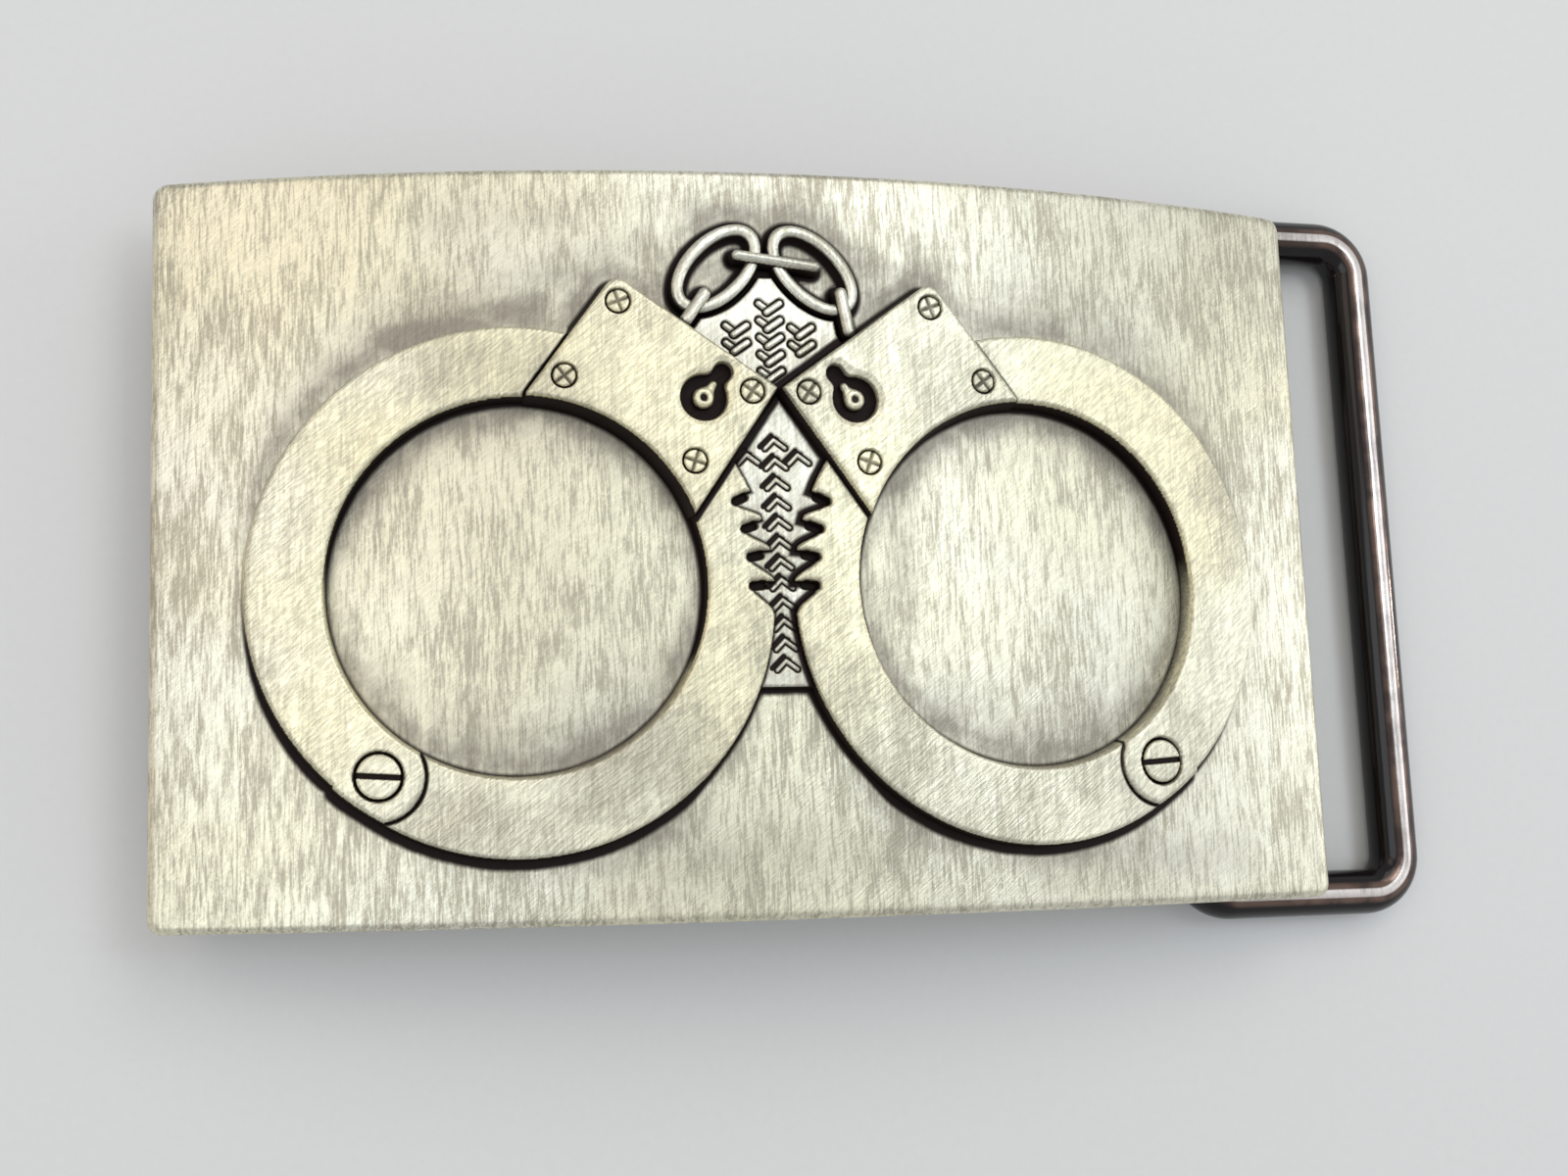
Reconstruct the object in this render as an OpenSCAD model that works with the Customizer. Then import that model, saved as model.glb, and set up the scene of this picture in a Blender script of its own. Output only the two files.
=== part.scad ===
// Belt buckle: a curved face plate with a pair of handcuffs laid on it in relief,
// a peg and two hinge lugs on its back, and a swinging wire bail that holds the belt.
// X runs along the plate, Y up its face, Z out of the face. The buckle lies on its
// back: Z = 0 is the surface under it, X = Y = 0 the middle of its whole outline.

/* [Plate] */
// Length of the face plate
plate_l = 82; // [76:0.5:110]
// Height of the face plate
plate_h = 50; // [44:0.5:66]
// Thickness of the face plate
plate_t = 2.4; // [1.6:0.1:3.2]
// Radius that the face is bent to, about an axis along Y
face_r = 148; // [120:1:260]
// Corner radius of the face plate
corner_r = 1; // [0.4:0.1:3]

/* [Cuffs] */
// Distance from the middle of the plate to each cuff's centre
cuff_x = 17.4; // [17:0.1:21]
// Height of the cuffs' centres on the face
cuff_y = -3.3; // [-5:0.1:0]
// Radius of the opening in each cuff
cuff_r = 12.3; // [10:0.1:13]
// Outer radius of the fixed frame
frame_r = 16.95; // [15:0.05:18]
// How far the frame's outer curve is set outwards of the cuff's centre
frame_out = 0.5; // [0:0.05:1]
// How far the frame stands above the plate
frame_t = 1.45; // [0.8:0.05:2]
// Outer radius of the swinging arm
arm_r = 16.75; // [15:0.05:18]
// How far the arm's outer curve is set below the cuff's centre
arm_drop = 0.65; // [0:0.05:1]
// How far the arm stands above the plate
arm_t = 1.2; // [0.6:0.05:2]

/* [Ratchet] */
// Number of teeth cut in each arm
tooth_count = 4; // [2:1:6]
// Angle of the first tooth's tip, seen from the cuff's centre
tooth_start = 158.5; // [155:0.1:165]
// Angle from one tooth to the next
tooth_pitch = 7.1; // [5:0.05:8]
// Depth of the gullets, from the arm's outer radius
tooth_depth = 1.55; // [0.8:0.05:2]
// Angle that the flat bottom of a gullet takes up
gullet_angle = 1.5; // [1:0.1:2.5]

/* [Pivot] */
// Distance of each pivot outwards of the cuff's centre
pivot_out = 8.9; // [7.5:0.1:10.5]
// Distance of each pivot below the cuff's centre
pivot_down = 12; // [10.5:0.1:13]
// Radius of the frame's rounded end, around the pivot
boss_r = 2.95; // [2.4:0.05:3.5]
// Radius of the pivot screw's head
pivot_screw_r = 1.6; // [1:0.05:2]
// How deep the pivot screw's head is let into the frame
pivot_seat = 0.7; // [0.4:0.05:1]
// How far the pivot screw's head stands out of the frame
pivot_proud = 0.1; // [0:0.05:0.3]

/* [Lock cases] */
// How far each lock case stands above the plate
case_t = 2; // [1.2:0.05:2.6]
// Radius of each small screw head
case_screw_r = 0.85; // [0.5:0.05:1.2]
// How deep the small screw heads are let into the case
screw_seat = 0.5; // [0.3:0.05:0.9]
// Radius of the keyhole's round part
keyhole_r = 1.6; // [1.1:0.05:2]
// Half the width of the keyhole's slot
keyslot_r = 0.62; // [0.3:0.02:0.8]
// Depth of the keyhole
keyhole_depth = 0.9; // [0.4:0.05:1.2]
// Radius of the pin that stands in the keyhole
key_pin_r = 0.65; // [0.4:0.05:0.9]
// How far the pin's end stays below the case's face
key_pin_low = 0.15; // [0:0.05:0.4]

/* [Chain and panels] */
// How far the two plain panels stand above the plate
panel_t = 0.7; // [0.3:0.05:1]
// Depth of the chevrons cut in the ratchet panel
chevron_depth = 0.25; // [0.1:0.05:0.4]
// Sideways place of the chain's middle
chain_x = -0.45; // [-1:0.05:1]
// Length of each outer link
link_l = 7.5; // [6:0.1:9]
// Width of each outer link
link_w = 4.5; // [3:0.05:5]
// Width of the links' wire
link_wire = 0.85; // [0.5:0.05:1.2]
// How far the outer links stand above the plate
link_t = 0.9; // [0.5:0.05:1.4]
// Height of the bars that pass over the outer links
bar_t = 0.5; // [0.3:0.05:0.8]
// Width of the edge-on middle link
middle_w = 0.7; // [0.5:0.05:1]

/* [Bail] */
// Diameter of the bail's wire
wire_d = 3.3; // [2.4:0.1:4.2]
// Width of the belt that the bail takes
belt_w = 44.5; // [38:0.5:50]
// Radius of the bail's corners, at the middle of the wire
bend_r = 2.8; // [2.6:0.1:6]
// Distance from the hinge to the belt bar
bail_reach = 16.85; // [14:0.05:24]
// Length of each inturned end, from the arm's centreline
tail_l = 9.6; // [8:0.1:12]

/* [Hinge lugs] */
// Distance from the plate's end to the hinge
hinge_in = 8; // [7:0.1:12]
// Distance from the plate's back down to the hinge axis
hinge_drop = 4.4; // [4:0.1:7]
// Width of each lug, along the hinge
lug_w = 4.4; // [3:0.1:6]
// Wall of the lug round the wire
lug_wall = 0.94; // [0.8:0.02:1.6]
// Running clearance round the wire
hinge_gap = 0.06; // [0.02:0.01:0.1]
// Side clearance between lug and bail corner
side_gap = 0.2; // [0.1:0.05:0.5]

/* [Peg] */
// Distance from the plate's end to the peg
peg_in = 10; // [7:0.5:16]
// Radius of the peg
peg_r = 2; // [1.5:0.1:2.5]
// Radius of the peg's pad
peg_pad_r = 3.4; // [2.8:0.1:4.5]
// Thickness of the peg's pad at its thinnest
pad_t = 0.6; // [0.3:0.1:1.2]
// Length of the tapered nose
peg_nose = 0.9; // [0.4:0.1:1.5]
// Radius that the nose tapers to
peg_tip_r = 1.3; // [0.8:0.1:1.4]

/* [Hidden] */
$fn = 64;

antique_brass = "#b9ab86";
light_brass = "#c9bd98";
dark_nickel = "#4a4440";

face_fn = 720;      // segments of the plate's large cylinders
cuff_fn = 128;      // segments of the cuffs' circles
deep = 60;          // depth of the prisms that outlines are cut with
wide = 200;         // length of the large cylinders
slot_w = 0.35;      // width of the screw slots
slot_depth = 0.35;  // depth of the pivot screw's slot
cross_w = 0.26;     // width of the small screws' cross
cross_depth = 0.2;  // depth of the small screws' cross
cross_turn = 20;    // angle that the crosses are left at
over = 1;           // how far a cut runs past the surface it opens
frame_up = 0.1;     // how far the frame's outer curve is set above the cuff's centre
boss_out = 0.15;    // how far the rounded end stands out of the frame's outer curve
opening_gap = 0.5;  // ledge between the ratchet panel and the cuffs' openings

// Corners of the lock case, its keyhole and its screws, from the cuff's centre
case_inner = [-17.28, 12.8];
case_top = [-6.6, 20.4];
case_outer = [-0.5, 12.25];
case_bottom = [-11.4, 4.25];
case_round = [0.1, 0.9, 0.5, 0.1];
keyhole_at = [-12.3, 12.1];
keyslot_to = [-13.6, 13.8];
case_screw_at = [[-6.8, 18.5], [-3.2, 13.55], [-15.5, 12.5], [-11.55, 7.85]];

// Outline points of the two panels, and where the chain's pieces lie
panel_peak = 9.3;
panel_side = [3.9, 4.3, -5.5];
panel_foot = [2.4, -10.1];
chain_panel_right = [[4.9, 12], [4.9, 14.5], [3.9, 15.1], [2.35, 16.2], [1.45, 17.3]];
link_at = [3.3, 17.85];
link_tilt = 45;
link_space = 0.35;
middle_from = [-1.97, 18.68];
middle_to = [3.35, 17.98];
swivel_w = 0.85;
swivel_space = 0.05;
foot_share = 0.8;
left_swivel_end = [-0.11, -0.79];
right_swivel_end = [0.71, -0.59];
left_swivel_lean = 0;
right_swivel_lean = 1.1;
chevrons = 12;
chevron_top = 6.2;
chevron_step = 1.32;
chevron_w = 1.9;
chevron_stroke = 0.32;

// Derived sizes
pivot_at = [pivot_out, -pivot_down];
wire_r = wire_d / 2;
back_r = face_r - plate_t;
lug_r = wire_r + hinge_gap + lug_wall;
hinge_z = lug_r;
hinge_x = plate_l / 2 - hinge_in;
crown_z = hinge_z + hinge_drop + face_r - sqrt(pow(back_r, 2) - pow(hinge_x, 2));
centre_z = crown_z - face_r;
peg_x = -plate_l / 2 + peg_in;
pad_z = centre_z + sqrt(pow(back_r, 2) - pow(peg_x - peg_pad_r, 2)) - pad_t;
bail_slope = asin((hinge_z - wire_r) / bail_reach);
arm_y = belt_w / 2 + bend_r;
bar_x = hinge_x + bail_reach * cos(bail_slope);
middle_x = (bar_x + wire_r - plate_l / 2) / 2;
lug_y = arm_y - bend_r - side_gap - lug_w / 2;

// A point at radius r and angle a
function at_angle(r, a) = [r * cos(a), r * sin(a)];

// Arc of radius r that rounds the corner b between a and c
function corner_arc(a, b, c, r) =
    let (u = (a - b) / norm(a - b), v = (c - b) / norm(c - b),
         half = acos(u * v) / 2, reach = r / tan(half),
         mid = b + (u + v) / norm(u + v) * r / sin(half),
         p = b + u * reach - mid, q = b + v * reach - mid,
         a0 = atan2(p.y, p.x), turn = atan2(q.y, q.x) - a0,
         sweep = turn > 180 ? turn - 360 : turn < -180 ? turn + 360 : turn)
    [for (i = [0:6]) mid + at_angle(r, a0 + sweep * i / 6)];

// Outline with each corner rounded to its own radius
function rounded(pts, radii) =
    let (n = len(pts))
    [for (i = [0:n - 1])
        each corner_arc(pts[(i + n - 1) % n], pts[i], pts[(i + 1) % n], radii[i])];

// Middle of an outer link's lower round end, drawn as on the right-hand side
function link_end(side) =
    let (h = (link_l - link_w) / 2)
    [side * chain_x + link_at.x, link_at.y] + at_angle(h, -link_tilt);

// Where a swivel ends inside its link
function swivel_end(side) =
    link_end(side) + (side < 0 ? left_swivel_end : right_swivel_end);

// Where a swivel stands beside the lock case's upper edge
function swivel_foot(side) =
    let (along = (case_top - case_inner) / norm(case_top - case_inner),
         away = [-along.y, along.x],
         end = swivel_end(side),
         lean = side < 0 ? left_swivel_lean : right_swivel_lean,
         reach = (end - case_inner - [cuff_x, cuff_y]) * away)
    end - away * (reach - swivel_w / 2 - swivel_space) - along * lean;

// Layer of the bent face from height lo to hi above the plate's surface
module face_layer(lo, hi) {
    translate([0, 0, centre_z])
        rotate([90, 0, 0])
            difference() {
                cylinder(r = face_r + hi, h = wide, center = true, $fn = face_fn);
                cylinder(r = face_r + lo, h = wide + 2 * over, center = true, $fn = face_fn);
            }
}

// The 2D children cut out of that layer, square to the plate's middle
module relief(lo, hi) {
    intersection() {
        face_layer(lo, hi);
        translate([0, 0, crown_z - deep / 2])
            linear_extrude(deep)
                children();
    }
}

// Everything inside the plate's hollow back
module under_plate() {
    intersection() {
        translate([0, 0, centre_z])
            rotate([90, 0, 0])
                cylinder(r = back_r, h = wide, center = true, $fn = face_fn);
        children();
    }
}

// Moves a piece from the plate's middle to the middle of the whole outline
module placed() {
    translate([-middle_x, 0, 0])
        children();
}

// Right-hand pieces as drawn, left-hand ones mirrored
module on_side(side) {
    mirror([side < 0 ? 1 : 0, 0, 0])
        children();
}

// Moves a flat outline to the right cuff's centre
module at_cuff() {
    translate([cuff_x, cuff_y])
        children();
}

module circle_at(at, r) {
    translate(at)
        circle(r);
}

// Straight bar with round ends between two points
module round_bar(from, to, w) {
    run = to - from;
    translate(from)
        rotate(atan2(run.y, run.x))
            union() {
                translate([0, -w / 2])
                    square([norm(run), w]);
                circle(w / 2);
                translate([norm(run), 0])
                    circle(w / 2);
            }
}

module case_outline() {
    difference() {
        polygon(rounded([case_inner, case_top, case_outer, case_bottom], case_round));
        circle(cuff_r, $fn = cuff_fn);
    }
}

// Sector of the cuff that belongs to the frame: from the pivot round the outside to the case
module frame_sector() {
    start = atan2(pivot_at.y, pivot_at.x);
    end = atan2(case_top.y, case_top.x);
    far = 3 * frame_r;
    polygon([[0, 0], for (i = [0:3]) at_angle(far, start + (end - start) * i / 3)]);
}

module frame_outline() {
    difference() {
        union() {
            intersection() {
                circle_at([frame_out, frame_up], frame_r, $fn = cuff_fn);
                frame_sector();
            }
            intersection() {
                circle_at(pivot_at, boss_r);
                circle_at([frame_out, frame_up], frame_r + boss_out, $fn = cuff_fn);
            }
        }
        circle(cuff_r, $fn = cuff_fn);
        case_outline();
    }
}

module tooth_gaps() {
    low = arm_r - tooth_depth;
    for (i = [0:tooth_count - 1]) {
        a = tooth_start + i * tooth_pitch;
        polygon([
            at_angle(low, a), at_angle(low, a + gullet_angle),
            at_angle(arm_r, a + tooth_pitch),
            at_angle(arm_r + over, a + tooth_pitch), at_angle(arm_r + over, a)
        ]);
    }
}

module arm_outline() {
    difference() {
        circle_at([0, -arm_drop], arm_r, $fn = cuff_fn);
        circle(cuff_r, $fn = cuff_fn);
        frame_sector();
        circle_at(pivot_at, boss_r);
        case_outline();
        tooth_gaps();
    }
}

module both_sides() {
    children();
    mirror([1, 0])
        children();
}

module face_plate() {
    x = plate_l / 2;
    y = plate_h / 2;
    color(antique_brass)
        placed()
            relief(-plate_t, 0)
                polygon(rounded([[-x, -y], [x, -y], [x, y], [-x, y]],
                                [corner_r, corner_r, corner_r, corner_r]));
}

module cuff_frame(side) {
    color(light_brass)
        placed()
            on_side(side)
                difference() {
                    relief(0, frame_t)
                        at_cuff() frame_outline();
                    relief(frame_t - pivot_seat, frame_t + over)
                        at_cuff() circle_at(pivot_at, pivot_screw_r);
                }
}

module cuff_arm(side) {
    color(light_brass)
        placed()
            on_side(side)
                relief(0, arm_t)
                    at_cuff() arm_outline();
}

module keyhole_outline() {
    circle_at(keyhole_at, keyhole_r);
    round_bar(keyhole_at, keyslot_to, 2 * keyslot_r);
}

module lock_case(side) {
    color(light_brass)
        placed()
            on_side(side)
                difference() {
                    relief(0, case_t)
                        at_cuff() case_outline();
                    relief(case_t - keyhole_depth, case_t + over)
                        at_cuff() keyhole_outline();
                    relief(case_t - screw_seat, case_t + over)
                        at_cuff()
                            for (at = case_screw_at) circle_at(at, case_screw_r);
                }
}

module pivot_screw(side) {
    color(light_brass)
        placed()
            on_side(side)
                difference() {
                    relief(frame_t - pivot_seat, frame_t + pivot_proud)
                        at_cuff() circle_at(pivot_at, pivot_screw_r);
                    relief(frame_t + pivot_proud - slot_depth, frame_t + over)
                        at_cuff()
                            translate(pivot_at)
                                square([3 * pivot_screw_r, slot_w], center = true);
                }
}

module case_screws(side) {
    color(antique_brass)
        placed()
            on_side(side)
                difference() {
                    relief(case_t - screw_seat, case_t)
                        at_cuff()
                            for (at = case_screw_at) circle_at(at, case_screw_r);
                    relief(case_t - cross_depth, case_t + over)
                        at_cuff()
                            for (at = case_screw_at, turn = [cross_turn, cross_turn + 90])
                                translate(at)
                                    rotate(turn)
                                        square([1.2 * case_screw_r, cross_w], center = true);
                }
}

module keyhole_pin(side) {
    color(light_brass)
        placed()
            on_side(side)
                relief(case_t - keyhole_depth, case_t - key_pin_low)
                    at_cuff() circle_at(keyhole_at, key_pin_r);
}

// One chevron stroke with its point up
module chevron() {
    drop = chevron_w / 2;
    polygon([
        [-drop, -drop], [0, 0], [drop, -drop],
        [drop, -drop - chevron_stroke], [0, -chevron_stroke], [-drop, -drop - chevron_stroke]
    ]);
}

module ratchet_panel_outline() {
    difference() {
        polygon([
            [0, panel_peak],
            [panel_side.x, panel_side.y], [panel_side.x, panel_side.z],
            panel_foot, [-panel_foot.x, panel_foot.y],
            [-panel_side.x, panel_side.z], [-panel_side.x, panel_side.y]
        ]);
        both_sides()
            at_cuff() {
                arm_outline();
                case_outline();
                circle(cuff_r + opening_gap);
            }
    }
}

module ratchet_panel() {
    color(antique_brass)
        placed()
            difference() {
                relief(0, panel_t)
                    ratchet_panel_outline();
                relief(panel_t - chevron_depth, panel_t + over)
                    for (i = [0:chevrons - 1])
                        translate([0, chevron_top - i * chevron_step])
                            chevron();
            }
}

// Oval of a link's length and width
module link_shape(l, w) {
    scale([l / w, 1])
        circle(w / 2);
}

module link_place(side) {
    translate([chain_x + side * link_at.x, link_at.y])
        rotate(-side * link_tilt)
            children();
}

module chain_panel() {
    right = chain_panel_right;
    left = [for (i = [len(right) - 1:-1:0]) [2 * chain_x - right[i].x, right[i].y]];
    color(antique_brass)
        placed()
            relief(0, panel_t)
                difference() {
                    polygon([[0, panel_peak], each right, each left]);
                    both_sides()
                        at_cuff() case_outline();
                    for (side = [-1, 1])
                        link_place(side)
                            link_shape(link_l + 2 * link_space, link_w + 2 * link_space);
                    for (side = [-1, 1])
                        on_side(side)
                            round_bar(swivel_foot(side), swivel_end(side),
                                      swivel_w + 2 * link_space);
                }
}

module chain_link(side) {
    color(antique_brass)
        placed()
            relief(0, link_t)
                link_place(side)
                    difference() {
                        link_shape(link_l, link_w);
                        link_shape(link_l - 2 * link_wire, link_w - 2 * link_wire);
                    }
}

// Bar that passes over a link's end, with a foot at each end of it
module over_bar(from, to, w) {
    relief(link_t, link_t + bar_t)
        round_bar(from, to, w);
    relief(0, link_t + bar_t / 2) {
        circle_at(from, foot_share * w / 2);
        circle_at(to, foot_share * w / 2);
    }
}

module middle_chain_link() {
    color(light_brass)
        placed()
            over_bar(middle_from + [chain_x, 0], middle_to + [chain_x, 0], middle_w);
}

module swivel(side) {
    color(light_brass)
        placed()
            on_side(side)
                over_bar(swivel_foot(side), swivel_end(side), swivel_w);
}

module bail_lug(side) {
    color(antique_brass)
        placed()
            under_plate()
                translate([hinge_x, side * lug_y, 0])
                    difference() {
                        union() {
                            translate([0, 0, hinge_z])
                                rotate([90, 0, 0])
                                    cylinder(r = lug_r, h = lug_w, center = true);
                            translate([-lug_r, -lug_w / 2, hinge_z])
                                cube([2 * lug_r, lug_w, hinge_drop + plate_t]);
                        }
                        translate([0, 0, hinge_z])
                            rotate([90, 0, 0])
                                cylinder(r = wire_r + hinge_gap, h = lug_w + 2 * over, center = true);
                    }
}

module belt_peg() {
    color(antique_brass)
        placed()
            under_plate()
                translate([peg_x, 0, 0])
                    union() {
                        cylinder(r1 = peg_tip_r, r2 = peg_r, h = peg_nose);
                        translate([0, 0, peg_nose])
                            cylinder(r = peg_r, h = pad_z - peg_nose);
                        translate([0, 0, pad_z])
                            cylinder(r = peg_pad_r, h = crown_z);
                    }
}

// Quarter bend of the wire, from +X round to +Y, about its own centre
module wire_bend() {
    rotate_extrude(angle = 90)
        translate([bend_r, 0])
            circle(wire_r);
}

module wire_half() {
    arm_l = bail_reach - 2 * bend_r;
    translate([0, arm_y - tail_l, 0])
        rotate([-90, 0, 0])
            cylinder(r = wire_r, h = tail_l - bend_r);
    translate([bend_r, arm_y - bend_r, 0])
        rotate(90)
            wire_bend();
    translate([bend_r, arm_y, 0])
        rotate([0, 90, 0])
            cylinder(r = wire_r, h = arm_l);
    translate([bail_reach - bend_r, arm_y - bend_r, 0])
        wire_bend();
}

module bail() {
    color(dark_nickel)
        placed()
            translate([hinge_x, 0, hinge_z])
                rotate([0, bail_slope, 0])
                    union() {
                        wire_half();
                        mirror([0, 1, 0])
                            wire_half();
                        translate([bail_reach, 0, 0])
                            rotate([90, 0, 0])
                                cylinder(r = wire_r, h = belt_w, center = true);
                    }
}

face_plate();
cuff_frame(-1);  // left_cuff_frame
cuff_frame(1);  // right_cuff_frame
cuff_arm(-1);  // left_cuff_arm
cuff_arm(1);  // right_cuff_arm
lock_case(-1);  // left_lock_case
lock_case(1);  // right_lock_case
pivot_screw(-1);  // left_pivot_screw
pivot_screw(1);  // right_pivot_screw
case_screws(-1);  // left_case_screws
case_screws(1);  // right_case_screws
keyhole_pin(-1);  // left_keyhole_pin
keyhole_pin(1);  // right_keyhole_pin
ratchet_panel();
chain_panel();
chain_link(-1);  // left_chain_link
chain_link(1);  // right_chain_link
middle_chain_link();
swivel(-1);  // left_swivel
swivel(1);  // right_swivel
bail_lug(1);  // upper_bail_lug
bail_lug(-1);  // lower_bail_lug
belt_peg();
bail();
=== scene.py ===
"""Looks of the handcuff belt buckle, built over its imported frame."""

import logging
import math
from dataclasses import dataclass, field
from enum import Enum
from typing import Callable, Iterable, Sequence
import bmesh
import bpy
import numpy as np
from mathutils import Matrix, Vector


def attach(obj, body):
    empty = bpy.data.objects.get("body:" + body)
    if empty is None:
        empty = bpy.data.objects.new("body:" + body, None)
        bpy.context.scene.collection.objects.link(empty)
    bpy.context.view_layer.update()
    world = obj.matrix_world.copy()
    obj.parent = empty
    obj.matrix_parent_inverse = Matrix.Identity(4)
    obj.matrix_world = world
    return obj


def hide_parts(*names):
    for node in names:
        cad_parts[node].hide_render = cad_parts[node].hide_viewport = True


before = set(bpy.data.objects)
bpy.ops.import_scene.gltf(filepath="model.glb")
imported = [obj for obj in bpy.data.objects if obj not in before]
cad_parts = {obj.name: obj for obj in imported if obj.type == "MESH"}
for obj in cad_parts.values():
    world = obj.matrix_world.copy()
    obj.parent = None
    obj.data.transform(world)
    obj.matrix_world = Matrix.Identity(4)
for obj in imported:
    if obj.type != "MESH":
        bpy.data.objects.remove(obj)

LOG = logging.getLogger("buckle")
MM = 0.001
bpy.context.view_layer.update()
Grid = np.ndarray
Law = Callable[[Grid, Grid], Grid]
Point = tuple[float, float]
Box = tuple[float, float, float, float]
Stroke = tuple[Point, Point, float]
Colour = tuple[float, float, float, float]

FAR = 9.0  # a neighbour this many millimetres away leaves no mark on the finish
NOWHERE = -99.0  # depth of an outline with nothing in it
ARC_STEPS = 6  # straight sides of a rounded corner
NUDGE = 1e-3  # step for measuring how an outline's depth grows


class Side(Enum):
    """Which half of the relief a piece belongs to."""

    LEFT = -1
    RIGHT = 1

    @property
    def word(self) -> str:
        """The side's name in piece names."""
        return self.name.lower()

    def box(self, low: Point, high: Point) -> Box:
        """A box given for the right-hand half, on this side."""
        if self is Side.RIGHT:
            return (low[0], low[1], high[0], high[1])
        return (-high[0], low[1], -low[0], high[1])


class Section(Enum):
    """How a raised piece rises from its foot: the power of the curve of its section."""

    HALF_ROUND = 2.0
    SOFT_BLOCK = 2.8


# ---------------------------------------------------------------- flat outlines


class Outline:
    """A flat outline as a depth: positive inside it, negative outside, in millimetres."""

    def __init__(self, depth: Law) -> None:
        """Args:
            depth: gives the depth at x and y, in the plate's own plane.
        """
        self.depth = depth

    def __call__(self, x: Grid, y: Grid) -> Grid:
        """The depth at x and y."""
        return self.depth(x, y)

    def __or__(self, other: "Outline") -> "Outline":
        """Both outlines together."""
        return Outline(lambda x, y: np.maximum(self(x, y), other(x, y)))

    def __and__(self, other: "Outline") -> "Outline":
        """Where the two outlines overlap."""
        return Outline(lambda x, y: np.minimum(self(x, y), other(x, y)))

    def __sub__(self, other: "Outline") -> "Outline":
        """This outline with the other cut out of it."""
        return Outline(lambda x, y: np.minimum(self(x, y), -other(x, y)))

    def melted(self, other: "Outline", reach: float) -> "Outline":
        """Both outlines together, with the corner between them filled over a reach."""

        def depth(x: Grid, y: Grid) -> Grid:
            """Depth in the two with their corner filled."""
            a, b = self(x, y), other(x, y)
            t = np.clip(0.5 + 0.5 * (a - b) / reach, 0, 1)
            return b + (a - b) * t + reach * t * (1 - t)

        return Outline(depth)

    def grown(self, by: float) -> "Outline":
        """This outline with its edge moved outwards."""
        return Outline(lambda x, y: self(x, y) + by)

    def slope(self, x: Grid, y: Grid) -> tuple[Grid, Grid]:
        """How fast the depth grows along x and along y."""
        gx = (self(x + NUDGE, y) - self(x - NUDGE, y)) / (2 * NUDGE)
        gy = (self(x, y + NUDGE) - self(x, y - NUDGE)) / (2 * NUDGE)
        return gx, gy

    def cover(self, x: Grid, y: Grid) -> Grid:
        """1 inside the outline, down to 0 half a millimetre outside it."""
        return smooth(-0.5, 0.0, self(x, y))

    def on(self, side: Side) -> "Outline":
        """This right-hand outline on the side asked for."""
        return self if side is Side.RIGHT else Outline(lambda x, y: self(-x, y))

    @staticmethod
    def none() -> "Outline":
        """An outline with nothing in it."""
        return Outline(lambda x, y: np.full(np.shape(x), NOWHERE))

    @staticmethod
    def disc(at: Point, r: float) -> "Outline":
        """A circle of radius r about a point."""
        return Outline(lambda x, y: r - np.hypot(x - at[0], y - at[1]))

    @staticmethod
    def oval(at: Point, length: float, width: float, degrees: float) -> "Outline":
        """An oval about a point, with its length turned to an angle."""
        ux, uy = polar(1.0, degrees)
        ring, count = [], 56
        for k in range(count):
            x, y = polar(0.5, 360 * k / count)
            x, y = x * length, y * width
            ring.append((at[0] + x * ux - y * uy, at[1] + x * uy + y * ux))
        return Outline.polygon(ring)

    @staticmethod
    def bar(a: Point, b: Point, width: float) -> "Outline":
        """A straight bar with round ends between two points."""
        ex, ey = b[0] - a[0], b[1] - a[1]
        span = max(ex * ex + ey * ey, 1e-9)

        def depth(x: Grid, y: Grid) -> Grid:
            """Depth in the bar."""
            t = np.clip(((x - a[0]) * ex + (y - a[1]) * ey) / span, 0, 1)
            return width / 2 - np.hypot(x - a[0] - t * ex, y - a[1] - t * ey)

        return Outline(depth)

    @staticmethod
    def strokes(marks: Sequence[Stroke], at: Point) -> "Outline":
        """Straight bars of their own ends and widths, laid out from a point."""
        found = Outline.none()
        for (ax, ay), (bx, by), width in marks:
            found |= Outline.bar((at[0] + ax, at[1] + ay), (at[0] + bx, at[1] + by), width)
        return found

    @staticmethod
    def polygon(points: Sequence[Point]) -> "Outline":
        """A closed outline of straight sides.

        Args:
            points: its corners in order.

        Returns:
            The outline with true distances to its sides.
        """
        pairs = list(zip(points, [*points[1:], points[0]]))

        def depth(x: Grid, y: Grid) -> Grid:
            """Depth in the polygon, as the distance to its nearest side."""
            best = np.full(np.shape(x), 1e9)
            inside = np.zeros(np.shape(x), bool)
            for (ax, ay), (bx, by) in pairs:
                ex, ey, wx, wy = bx - ax, by - ay, x - ax, y - ay
                t = np.clip((wx * ex + wy * ey) / (ex * ex + ey * ey), 0, 1)
                best = np.minimum(best, (wx - ex * t) ** 2 + (wy - ey * t) ** 2)
                if ay != by:
                    inside ^= ((ay > y) != (by > y)) & (wx < ex * wy / ey)
            far = np.sqrt(best)
            return np.where(inside, far, -far)

        return Outline(depth)


def polar(r: float, degrees: float) -> Point:
    """The point at radius r and an angle."""
    a = math.radians(degrees)
    return (r * math.cos(a), r * math.sin(a))


def smooth(low: float, high: float, value: Grid) -> Grid:
    """0 below low, 1 above high, and a smooth step between."""
    t = np.clip((value - low) / (high - low), 0, 1)
    return t * t * (3 - 2 * t)


def faces_light(climb: Grid) -> Grid:
    """Share of painted light on a rim: 1 where it faces up the plate, down to 0 where it faces down
    and keeps its painted shadow.
    """
    return smooth(-0.6, 0.2, -climb)


def off_panels(x: Grid) -> Grid:
    """0 over the two panels in the middle, 1 beyond them."""
    return smooth(4.6, 7.0, np.abs(x))


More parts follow.
